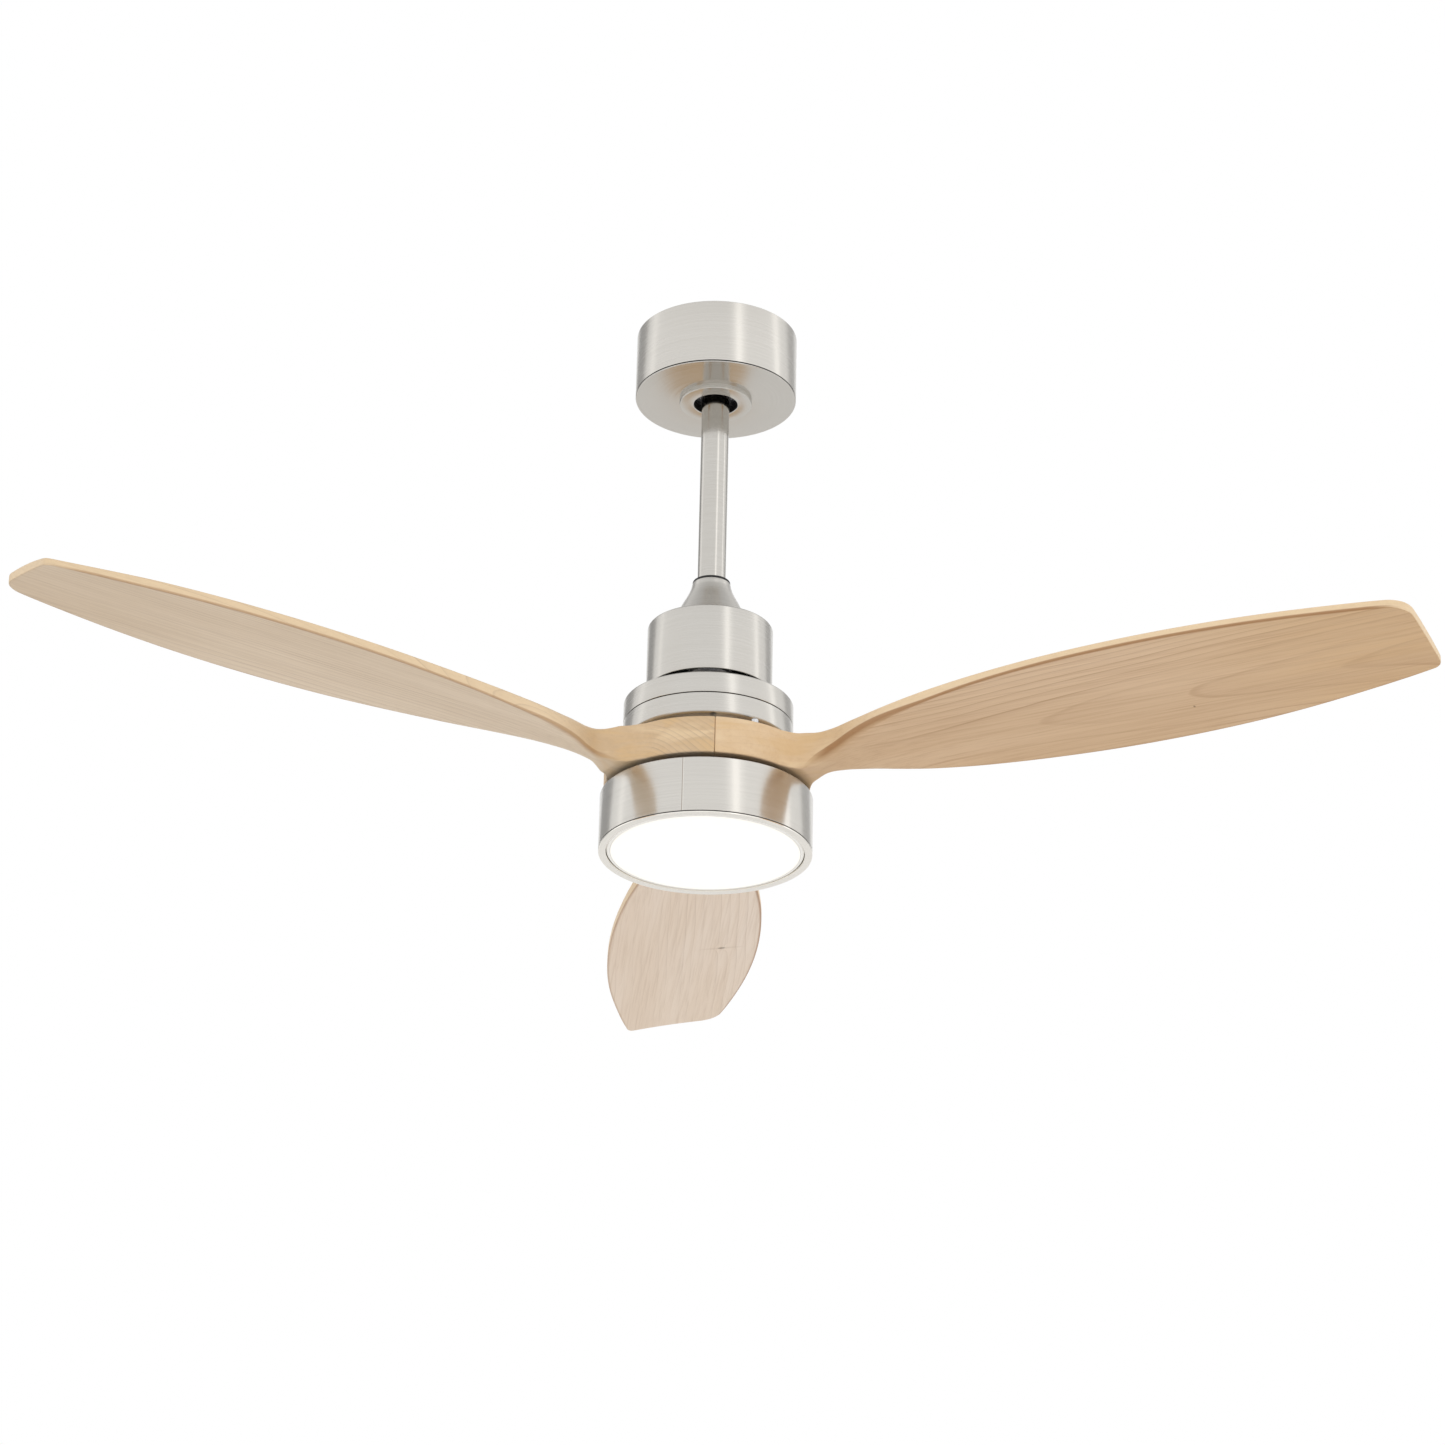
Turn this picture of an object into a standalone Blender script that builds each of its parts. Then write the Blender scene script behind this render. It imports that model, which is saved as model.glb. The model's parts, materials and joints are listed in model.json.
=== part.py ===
"""Ceiling fan with a light: every separate piece as its own closed solid.

Metres, +Z up.  The origin is the centre of the hanger bracket's flat top face, which
meets the ceiling, and Z is the line that the fan hangs along and turns about.
"""
import math

import bmesh
import bpy
import numpy as np
from mathutils import Matrix, Vector

MM = 0.001

# Driving sizes, in millimetres.
GAP = 0.3                   # left between pieces that touch
SHEET = 1.2                 # wall of the drawn metal covers
CANOPY_R, CANOPY_BOTTOM = 73.6, -63.5
COLLAR_R, COLLAR_HOLE_R, COLLAR_BOTTOM = 34.2, 20.0, -68.1
BALL_R, BALL_Z = 24.0, -38.0
LINER_R_IN, LINER_R_OUT, SEAT_R = 24.6, 26.6, 27.2
ROD_R, ROD_BORE_R, ROD_TOP, ROD_BOTTOM = 12.7, 10.9, -20.0, -309.0
CONE_TOP, CONE_R_TOP, CONE_R_BASE = -252.6, 17.2, 38.0
COVER_R, COVER_TOP, COVER_BOTTOM = 56.1, -298.0, -360.4
HOUSING_R, HOUSING_TOP, HOUSING_SEAM, HOUSING_BOTTOM = 75.4, -372.8, -392.4, -412.2
HUB_R, HUB_BORE_R, HUB_TOP, HUB_BOTTOM = 90.9, 30.0, -422.7, -456.7
BOSS_R = 62.0
SHAFT_R, SHAFT_BORE_R, SHAFT_TOP, SHAFT_BOTTOM = 8.5, 5.0, -319.3, -474.2
BEARING_R, BEARING_H = 17.5, 9.6
STATOR_R, STATOR_BORE_R, STATOR_TOP, STATOR_BOTTOM = 66.0, 30.0, -382.5, -400.5
TEETH = 12
DRUM_R, DRUM_TOP, DRUM_BOTTOM = 93.8, -462.3, -514.8
BEZEL_R_IN, BEZEL_H = 87.1, 2.0
BLADE_COUNT = 3
FIRST_BLADE_DEG = -26.2     # angle of the first blade at rest, from +X towards +Y

# Blade, from the fan's axis outwards: (distance out, offset to the side).
LEADING_EDGE = [(95, 19.5), (104, 16.8), (114, 15.6), (128, 18.5), (150, 27.5), (180, 39.5), (229, 55.2),
                (318, 74.4), (417, 82.8), (517, 80.0), (596, 69.9), (644, 60.9), (650.5, 59.3), (654.4, 56.0),
                (656.2, 49.0), (657.4, 15.0), (658.7, -18.0)]
TRAILING_EDGE = [(95, 17.0), (106, 10.0), (118, 7.0), (130, 10.5), (145, 18.0), (160, 25.0), (190, 36.5),
                 (229, 46.1), (318, 59.7), (417, 64.3), (517, 58.3), (596, 45.1), (645, 34.0), (654.4, 31.6),
                 (657.4, 30.2), (658.7, 27.0)]
TIP_START = 644.0           # distance out where the rounded tip begins
# Distances out of the blade's sections, closer together in the neck and at the tip.
STATIONS = (88.5, 93, 98, 104, 111, 118, 126, 136, 148, 162, 180, 205, 235, 270, 320, 370, 420, 470, 520, 560,
            600, 630, TIP_START, 650.5, 654.4, 656.2, 657.4, 658.7)
FILLET_START_DEG = 20.0     # on the hub's circle, where the edge leaves it for the neck
BLADE_TIP_R, NECK_R = 660.0, 100.0
LEADING_T, TRAILING_T = 7.0, 8.6        # thickness at the edges, well out from the hub
THINNING = 60.0             # distance over which the plank's full depth thins to the edges
LEADING_LIFT, TRAILING_LIFT, TIP_LIFT, TIP_RISE = 5.5, 4.5, 11.5, 2.7
SEAM_GAP = 0.4              # between neighbouring blades' hub sectors
CROWN_TOP, CROWN_BOTTOM = 2.6, 1.2

# Facets round a turned piece, by its size.
LARGE, MEDIUM, SMALL, TINY = 32, 18, 12, 8

for old in list(bpy.data.objects):
    bpy.data.objects.remove(old, do_unlink=True)

FAN = bpy.data.collections.new("ceiling_fan_with_light")
CUTTERS = bpy.data.collections.new("cutters")
for new_collection in (FAN, CUTTERS):
    bpy.context.scene.collection.children.link(new_collection)


def material(name, colour, roughness, metallic=0.0, glow=0.0):
    made = bpy.data.materials.new(name)
    made.use_nodes = True
    shader = made.node_tree.nodes["Principled BSDF"]
    shader.inputs["Base Color"].default_value = (*colour, 1.0)
    shader.inputs["Roughness"].default_value = roughness
    shader.inputs["Metallic"].default_value = metallic
    shader.inputs["Emission Color"].default_value = (1.0, 0.97, 0.92, 1.0)
    shader.inputs["Emission Strength"].default_value = glow
    return made


NICKEL = material("brushed_nickel", (0.60, 0.57, 0.54), 0.32, 1.0)
STEEL = material("zinc_plated_steel", (0.62, 0.63, 0.65), 0.38, 1.0)
SCREW_STEEL = material("screw_steel", (0.70, 0.70, 0.71), 0.28, 1.0)
CAST = material("cast_aluminium", (0.58, 0.58, 0.59), 0.5, 1.0)
BEARING_STEEL = material("bearing_steel", (0.72, 0.73, 0.75), 0.2, 1.0)
LAMINATION = material("stator_steel", (0.25, 0.26, 0.28), 0.5, 1.0)
MAGNET = material("magnet", (0.12, 0.12, 0.13), 0.5, 0.6)
COPPER = material("copper_winding", (0.72, 0.35, 0.18), 0.35, 1.0)
WOOD = material("blade_wood", (0.72, 0.52, 0.33), 0.5)
RUBBER = material("black_rubber", (0.02, 0.02, 0.02), 0.7)
NYLON = material("nylon", (0.75, 0.74, 0.70), 0.5)
TERMINAL = material("terminal_plastic", (0.85, 0.84, 0.80), 0.5)
BOARD = material("circuit_board", (0.05, 0.25, 0.12), 0.5)
INSULATION = material("lead_insulation", (0.05, 0.05, 0.06), 0.5)
OPAL = material("opal_diffuser", (0.95, 0.94, 0.92), 0.4, 0.0, 2.0)


def empty(name, z):
    """A parent on a joint's axis."""
    made = bpy.data.objects.new(name, None)
    made.location = (0.0, 0.0, z * MM)
    FAN.objects.link(made)
    return made


SWING_CENTRE = empty("swing_centre", BALL_Z)      # both swing axes cross here
FAN_AXIS = empty("fan_axis", HUB_TOP)             # the rotor turns about Z


def new_object(name, mesh, look, parent=None):
    made = bpy.data.objects.new(name, mesh)
    if look is None:
        CUTTERS.objects.link(made)
        made.hide_render = True
        made.display_type = 'WIRE'
        return made
    FAN.objects.link(made)
    if not mesh.materials:
        mesh.materials.append(look)
    if parent is not None:
        made.parent = parent
        made.matrix_parent_inverse = Matrix.Translation(-parent.location)
    return made


def turned(name, profile, steps, look, parent=None, closed=True):
    """Turn a profile of (radius, height) in mm about Z.  It runs down its outer side; a solid
    one starts and ends on the axis and isn't closed."""
    count = len(profile)
    edges = [(i, i + 1) for i in range(count - 1)]
    if closed:
        edges.append((count - 1, 0))
    mesh = bpy.data.meshes.new(name)
    mesh.from_pydata([(r * MM, 0.0, z * MM) for r, z in profile], edges, [])
    made = new_object(name, mesh, look, parent)
    screw = made.modifiers.new("turn", 'SCREW')
    screw.axis = 'Z'
    screw.steps = steps
    screw.render_steps = steps
    screw.use_merge_vertices = True
    screw.merge_threshold = 0.00001
    screw.use_smooth_shade = True
    return made


def ring(name, r_in, r_out, z_top, z_bottom, steps, look, parent=None):
    profile = [(r_in, z_top), (r_out, z_top), (r_out, z_bottom), (r_in, z_bottom)]
    return turned(name, profile, steps, look, parent)


def box(name, low, high, look=None, parent=None):
    """A box between two corners in mm; with no look it is a tool for a Boolean."""
    work = bmesh.new()
    bmesh.ops.create_cube(work, size=1.0)
    size = [(b - a) * MM for a, b in zip(low, high)]
    centre = [(a + b) / 2 * MM for a, b in zip(low, high)]
    placed = Matrix.Translation(centre) @ Matrix.Diagonal((*size, 1.0))
    bmesh.ops.transform(work, matrix=placed, verts=work.verts)
    mesh = bpy.data.meshes.new(name)
    work.to_mesh(mesh)
    work.free()
    return new_object(name, mesh, look, parent)


def drill(name, radius, start, end, steps=SMALL):
    """A cylinder between two points in mm, as a Boolean tool."""
    start, end = Vector(start) * MM, Vector(end) * MM
    along = end - start
    work = bmesh.new()
    bmesh.ops.create_cone(work, cap_ends=True, segments=steps, radius1=radius * MM, radius2=radius * MM,
                          depth=along.length)
    turn = along.to_track_quat('Z', 'X').to_matrix().to_4x4()
    bmesh.ops.transform(work, matrix=Matrix.Translation((start + end) / 2) @ turn, verts=work.verts)
    mesh = bpy.data.meshes.new(name)
    work.to_mesh(mesh)
    work.free()
    return new_object(name, mesh, None)


def combine(target, tool, operation):
    step = target.modifiers.new(tool.name, 'BOOLEAN')
    step.object = tool
    step.operation = operation
    step.solver = 'EXACT'


def cut(target, *tools):
    for tool in tools:
        combine(target, tool, 'DIFFERENCE')


def join(target, *tools):
    for tool in tools:
        combine(target, tool, 'UNION')


def fastener(name, at, towards, head_r, head_h, shank_r, length, parent=None):
    """A screw: the shank starts at a point in mm and runs along a direction, its head behind it."""
    made = turned(name, [(0, length), (shank_r, length), (shank_r, 0), (head_r, 0), (head_r, -head_h),
                         (0, -head_h)], TINY, SCREW_STEEL, parent, closed=False)
    made.location = Vector(at) * MM
    made.rotation_euler = Vector(towards).to_track_quat('Z', 'X').to_euler()
    return made


def set_screw(name, at, towards, radius, length, parent=None):
    made = turned(name, [(0, length), (radius, length), (radius, 0), (0, 0)], TINY, SCREW_STEEL, parent,
                  closed=False)
    made.location = Vector(at) * MM
    made.rotation_euler = Vector(towards).to_track_quat('Z', 'X').to_euler()
    return made


def smooth_route(points, per_span):
    """Points on a Catmull-Rom curve through a route."""
    route = [Vector(p) for p in points]
    ends = [2 * route[0] - route[1]] + route + [2 * route[-1] - route[-2]]
    made = []
    for before, a, b, after in zip(ends, ends[1:], ends[2:], ends[3:]):
        for step in range(per_span):
            t = step / per_span
            made.append(0.5 * (2 * a + (b - before) * t + (2 * before - 5 * a + 4 * b - after) * t ** 2
                               + (3 * a - before - 3 * b + after) * t ** 3))
    return made + [route[-1]]


def lead(name, route, radius, parent=None):
    """An insulated lead along a route in mm."""
    curve = bpy.data.curves.new(name, 'CURVE')
    curve.dimensions = '3D'
    curve.bevel_depth = radius * MM
    curve.bevel_resolution = 1
    curve.use_fill_caps = True
    points = smooth_route(route, 3)
    spline = curve.splines.new('POLY')
    spline.points.add(len(points) - 1)
    for control, place in zip(spline.points, points):
        control.co = (*(place * MM), 1.0)
    return new_object(name, curve, INSULATION, parent)


def ball_arc(radius, z_from, z_to, count):
    """Points (r, z) on a sphere about the ball's centre."""
    heights = np.linspace(z_from, z_to, count)
    return [(math.sqrt(radius ** 2 - (z - BALL_Z) ** 2), z) for z in heights]


# ---- Ceiling side -------------------------------------------------------------------------------
PLATE_T = 2.5
SEAT_FLANGE_R, SEAT_WALL_R = 34.0, 30.0
SEAT_TOP, SEAT_FLANGE_TOP, SEAT_BOTTOM = -43.0, -52.0, -54.5
LEG_IN, LEG_OUT, LEG_HALF_WIDTH = 31.5, 34.0, 15.0
ROD_SLOT_HALF = 13.8
CANOPY_SCREW_X, SMALL_SCREW_R = 27.0, 1.75
SCREW_CLEARANCE = 0.3
LEAD_R, LEAD_Y = 1.6, -6.5  # the leads pass in front of the two cross pins
LEAD_SPLIT = 2.4            # gap between the fixed and the swinging lead, level with the ball's centre


def hanger_bracket():
    """Pressed steel: a ceiling plate, two legs and the round seat that the ball hangs in."""
    made = box("hanger_bracket", (-60, -20, -PLATE_T), (60, 20, 0), STEEL)
    for side in (-1, 1):
        low_x, high_x = sorted((side * LEG_IN, side * LEG_OUT))
        join(made, box(f"leg_{side}", (low_x, -LEG_HALF_WIDTH, SEAT_BOTTOM),
                       (high_x, LEG_HALF_WIDTH, -PLATE_T / 2)))
    seat_arc = ball_arc(SEAT_R, -51.5, SEAT_TOP, 5)
    seat = turned("seat", [(SEAT_WALL_R, SEAT_TOP), (SEAT_WALL_R, SEAT_FLANGE_TOP),
                           (SEAT_FLANGE_R, SEAT_FLANGE_TOP), (SEAT_FLANGE_R, SEAT_BOTTOM),
                           (seat_arc[0][0], SEAT_BOTTOM)] + seat_arc, MEDIUM, None)
    join(made, seat)
    # The ball is hooked in from behind, through a slot as wide as the rod.
    cut(made, box("seat_slot", (-ROD_SLOT_HALF, 0, SEAT_BOTTOM - 1), (ROD_SLOT_HALF, 40, SEAT_TOP + 1)))
    # Holes for the ceiling screws, the mains lead, the earth screw and the canopy screws.
    for side in (-1, 1):
        cut(made, drill(f"ceiling_screw_hole_{side}", 3.0, (side * 48, 0, 1), (side * 48, 0, -5)))
        cut(made, drill(f"canopy_screw_hole_{side}", SMALL_SCREW_R + SCREW_CLEARANCE,
                        (side * CANOPY_SCREW_X, 0, -56), (side * CANOPY_SCREW_X, 0, -51.3), TINY))
    cut(made, drill("mains_hole", 7.0, (-14, 0, 1), (-14, 0, -5)))
    cut(made, drill("earth_hole", 2.3, (-26, 10, 1), (-26, 10, -5), TINY))
    return made


def ceiling_side():
    hanger_bracket()
    box("terminal_block", (14, -13, -13), (30, 13, -PLATE_T - GAP), TERMINAL)
    fastener("earth_screw", (-26, 10, -PLATE_T - GAP), (0, 0, 1), 4.0, 2.2, 2.0, 2.0)
    # The lead keeps to the middle where it enters the rod, whose top end swings round it.
    lead("supply_lead", [(13.7, LEAD_Y, -8), (9, -6, -8.3), (3.2, -5.2, -12.5), (0.4, -4.9, -19),
                         (0, -6.1, -26), (0, LEAD_Y, BALL_Z + LEAD_SPLIT / 2)], LEAD_R)
    floor = CANOPY_BOTTOM + SHEET
    canopy = turned("canopy", [(CANOPY_R - SHEET, -0.4), (CANOPY_R, -0.4), (CANOPY_R, CANOPY_BOTTOM + 1.2),
                               (CANOPY_R - 1.2, CANOPY_BOTTOM), (21.6, CANOPY_BOTTOM), (21.6, floor),
                               (CANOPY_R - SHEET - 0.8, floor), (CANOPY_R - SHEET, floor + 0.8)],
                    LARGE, NICKEL)
    for side, hand in ((-1, "left"), (1, "right")):
        x = side * CANOPY_SCREW_X
        cut(canopy, drill(f"canopy_hole_{hand}", SMALL_SCREW_R + SCREW_CLEARANCE, (x, 0, floor + 1),
                          (x, 0, CANOPY_BOTTOM - 1), TINY))
        fastener(f"canopy_screw_{hand}", (x, 0, CANOPY_BOTTOM - GAP), (0, 0, 1), 3.2, 2.0, SMALL_SCREW_R,
                 12.0)
    top, inner = CANOPY_BOTTOM - GAP, COLLAR_HOLE_R + SHEET
    turned("canopy_collar", [(31.8, top), (COLLAR_R, top), (COLLAR_R, -65.8), (33.2, -65.8),
                             (33.2, COLLAR_BOTTOM), (COLLAR_HOLE_R, COLLAR_BOTTOM), (COLLAR_HOLE_R, -60.0),
                             (inner, -60.0), (inner, COLLAR_BOTTOM + SHEET), (31.8, COLLAR_BOTTOM + SHEET)],
           LARGE, NICKEL)


def ball_seat():
    """The nylon liner that the ball turns in, slotted as the seat is."""
    outer = ball_arc(LINER_R_OUT, -42.0, -51.0, 5)
    inner = ball_arc(LINER_R_IN, -51.0, -42.0, 5)
    liner = turned("socket_liner", outer + inner, MEDIUM, NYLON, SWING_CENTRE)
    cut(liner, box("liner_slot", (-ROD_SLOT_HALF, 0, -60), (ROD_SLOT_HALF, 40, -30)))


# ---- What hangs ---------------------------------------------------------------------------------
PIN_R, PIN_HOLE_R = 3.0, 3.3
CROSS_PIN_Z, CLEVIS_PIN_Z, COUPLER_SCREW_Z = -29.0, -293.5, -287.0
COUPLER_R, COUPLER_TOP, COUPLER_BOTTOM = 17.5, -282.0, -342.0
ROD_STOP = -319.0           # the rod's socket in the coupler ends here and the shaft's bore begins
COVER_FLANGE_R, COVER_FLANGE_TOP, COVER_FLANGE_BOTTOM = 26.0, COVER_TOP - SHEET - GAP, -305.0
BOARD_FLANGE_R, BOARD_FLANGE_TOP, BOARD_FLANGE_BOTTOM = 30.0, -323.0, -327.0
SET_SCREW_R, SET_SCREW_HOLE_R = 2.5, 2.8
COVER_SCREW_Y = 22.0
WINDOW_Z = -313.3
DIAGONAL = Vector((math.sqrt(0.5), math.sqrt(0.5), 0))      # the leads' windows face this way and back


def rod_and_ball():
    rod = ring("downrod", ROD_BORE_R, ROD_R, ROD_TOP, ROD_BOTTOM, MEDIUM, NICKEL, SWING_CENTRE)
    arc = ball_arc(BALL_R, -24.0, -53.0, 8)
    bore = ROD_R + GAP
    profile = [(bore, arc[0][1])] + arc + [(bore, arc[-1][1])]
    ball = turned("hanger_ball", profile, MEDIUM, NYLON, SWING_CENTRE)
    cross_hole = drill("cross_pin_hole", PIN_HOLE_R, (-30, 0, CROSS_PIN_Z), (30, 0, CROSS_PIN_Z))
    clevis_hole = drill("clevis_pin_hole", PIN_HOLE_R, (-30, 0, CLEVIS_PIN_Z), (30, 0, CLEVIS_PIN_Z))
    cut(rod, cross_hole, clevis_hole)
    cut(ball, cross_hole, drill("ball_screw_hole", SET_SCREW_HOLE_R, (0, -10, BALL_Z), (0, -30, BALL_Z)))
    set_screw("ball_cross_pin", (-20, 0, CROSS_PIN_Z), (1, 0, 0), PIN_R, 40, SWING_CENTRE)
    set_screw("ball_set_screw", (0, -21, BALL_Z), (0, 1, 0), SET_SCREW_R, 21 - bore, SWING_CENTRE)
    return clevis_hole


def coupler(clevis_hole):
    """The yoke that joins the rod to the motor's shaft, with a flange for the cover and one for the board."""
    bore = ROD_R + GAP
    shaft_bore = SHAFT_R + GAP
    outside = [(COUPLER_R, COUPLER_TOP), (COUPLER_R, COVER_FLANGE_TOP), (COVER_FLANGE_R, COVER_FLANGE_TOP),
               (COVER_FLANGE_R, COVER_FLANGE_BOTTOM), (COUPLER_R, COVER_FLANGE_BOTTOM),
               (COUPLER_R, BOARD_FLANGE_TOP), (BOARD_FLANGE_R, BOARD_FLANGE_TOP),
               (BOARD_FLANGE_R, BOARD_FLANGE_BOTTOM), (COUPLER_R, BOARD_FLANGE_BOTTOM),
               (COUPLER_R, COUPLER_BOTTOM)]
    inside = [(shaft_bore, COUPLER_BOTTOM), (shaft_bore, ROD_STOP), (bore, ROD_STOP), (bore, COUPLER_TOP)]
    made = turned("rod_coupler", outside + inside, MEDIUM, CAST, SWING_CENTRE)
    cut(made, clevis_hole)
    for side, hand in ((-1, "front"), (1, "back")):
        cut(made, drill(f"coupler_screw_hole_{hand}", SET_SCREW_HOLE_R, (0, side * 10, COUPLER_SCREW_Z),
                        (0, side * 22, COUPLER_SCREW_Z)))
        set_screw(f"coupler_screw_{hand}", (0, side * 20, COUPLER_SCREW_Z), (0, -side, 0), SET_SCREW_R,
                  20 - bore, SWING_CENTRE)
        cut(made, drill(f"lead_window_{hand}", 2 * LEAD_R, side * 10 * DIAGONAL + Vector((0, 0, WINDOW_Z)),
                        side * 22 * DIAGONAL + Vector((0, 0, WINDOW_Z))))
        cut(made, drill(f"cover_screw_hole_{hand}", SMALL_SCREW_R + SCREW_CLEARANCE,
                        (0, side * COVER_SCREW_Y, COVER_TOP + 1),
                        (0, side * COVER_SCREW_Y, COVER_FLANGE_BOTTOM + 0.4), TINY))
    pin = turned("clevis_pin", [(0, 44), (PIN_R, 44), (PIN_R, 0), (4.5, 0), (4.5, -2.5), (0, -2.5)], SMALL,
                 SCREW_STEEL, SWING_CENTRE, closed=False)
    pin.location = Vector((-20, 0, CLEVIS_PIN_Z)) * MM
    pin.rotation_euler = (0, math.pi / 2, 0)
    cut(pin, drill("cotter_hole", 1.2, (21, 0, CLEVIS_PIN_Z + 6), (21, 0, CLEVIS_PIN_Z - 6), TINY))
    fastener("cotter_pin", (21, 0, CLEVIS_PIN_Z - PIN_R - GAP), (0, 0, 1), 1.8, 1.2, 0.85, 10, SWING_CENTRE)


def covers():
    flare = [(CONE_R_TOP, CONE_TOP), (17.7, -256.0), (19.1, -260.5), (26.2, -275.0),
             (CONE_R_BASE, COVER_TOP + GAP)]
    inside = [(r - 1.6, z) for r, z in reversed(flare)]
    turned("cone_cover", flare + inside, LARGE, NICKEL, SWING_CENTRE)
    ring("rod_grommet", ROD_R + GAP, 16.9, CONE_TOP + 2.6, CONE_TOP + GAP, MEDIUM, RUBBER, SWING_CENTRE)
    under = COVER_TOP - SHEET
    cover = turned("upper_cover", [(19, COVER_TOP), (COVER_R - 2, COVER_TOP), (COVER_R, COVER_TOP - 2),
                                   (COVER_R, COVER_BOTTOM), (COVER_R - SHEET, COVER_BOTTOM),
                                   (COVER_R - SHEET, under - 1.3), (COVER_R - SHEET - 1.3, under),
                                   (19, under)],
                   LARGE, NICKEL, SWING_CENTRE)
    for side, hand in ((-1, "front"), (1, "back")):
        y = side * COVER_SCREW_Y
        cut(cover, drill(f"cover_hole_{hand}", SMALL_SCREW_R + SCREW_CLEARANCE, (0, y, COVER_TOP + 1),
                         (0, y, under - 0.2), TINY))
        fastener(f"cover_screw_{hand}", (0, y, COVER_TOP + GAP), (0, 0, -1), 2.6, 2.0, SMALL_SCREW_R, 6,
                 SWING_CENTRE)


def along_diagonal(stations):
    """Route points from (distance out, height) pairs on the windows' line."""
    return [(*(out * DIAGONAL).xy, z) for out, z in stations]


def drive_electronics():
    """The receiver and motor drive: a ring board on the coupler's flange, with its largest parts."""
    board_bottom = BOARD_FLANGE_TOP + GAP
    board_top = board_bottom + 1.6
    board = ring("drive_board", COUPLER_R + GAP, 50, board_top, board_bottom, MEDIUM, BOARD, SWING_CENTRE)
    join(board,
         box("transformer", (32, -9, board_top - 0.5), (46, 9, board_top + 14)),
         box("relay", (-46, -9, board_top - 0.5), (-32, 9, board_top + 12)),
         drill("capacitor", 6, (0, 38, board_top - 0.5), (0, 38, board_top + 16)),
         drill("capacitor_2", 6, (0, -38, board_top - 0.5), (0, -38, board_top + 16)))
    lead("motor_lead", [(0, LEAD_Y, BALL_Z - LEAD_SPLIT / 2), (0, LEAD_Y, -130), (0, LEAD_Y, -220),
                        (0, LEAD_Y, -282), (-0.3, -6.2, -297), (-1.2, -5.6, -304), (-4.2, -6.2, -310.5)]
         + along_diagonal([(-13, -313.2), (-18, -313.9), (-24, -315.6), (-29, -317.4), (-32, -319.2)]),
         LEAD_R, SWING_CENTRE)
    lead("light_lead", along_diagonal([(32, -319.2), (28, -316.6), (22, -314.4), (17, -313.3), (12, -313),
                                       (6, -314.2), (1.8, -318)])
         + [(0, 0, -326), (0, 0, -380), (0, 0, -430), (0, 0, -469.5), (2.4, 0, -477), (8, 0, -479.5),
            (15, 0, -479.5), (21.6, 0, -479.5)],
         LEAD_R, SWING_CENTRE)


# ---- Motor --------------------------------------------------------------------------------------
def tooth_outline():
    """The stator's outline: a ring with teeth, each a neck and a wider head."""
    points = []
    pitch = 2 * math.pi / TEETH
    root_r, head_r, neck_half = 40.0, 61.0, 4.5
    head_half = math.radians(13.2)
    for tooth in range(TEETH):
        middle = tooth * pitch
        corners = [(root_r, -neck_half / root_r), (head_r, -neck_half / head_r), (head_r + 1, -head_half),
                   (STATOR_R, -head_half), (STATOR_R, 0), (STATOR_R, head_half), (head_r + 1, head_half),
                   (head_r, neck_half / head_r), (root_r, neck_half / root_r)]
        points += [(r * math.cos(middle + a), r * math.sin(middle + a)) for r, a in corners]
    return points


def stator_core():
    curve = bpy.data.curves.new("stator_core", 'CURVE')
    curve.dimensions = '2D'
    curve.fill_mode = 'BOTH'
    curve.extrude = (STATOR_TOP - STATOR_BOTTOM) / 2 * MM
    hole = [(STATOR_BORE_R * math.cos(a), STATOR_BORE_R * math.sin(a))
            for a in np.linspace(0, 2 * math.pi, MEDIUM, endpoint=False)]
    for outline in (tooth_outline(), hole):
        spline = curve.splines.new('POLY')
        spline.use_cyclic_u = True
        spline.points.add(len(outline) - 1)
        for control, (x, y) in zip(spline.points, outline):
            control.co = (x * MM, y * MM, 0.0, 1.0)
    made = new_object("stator_core", curve, LAMINATION, SWING_CENTRE)
    made.location.z = (STATOR_TOP + STATOR_BOTTOM) / 2 * MM
    return made


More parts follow.
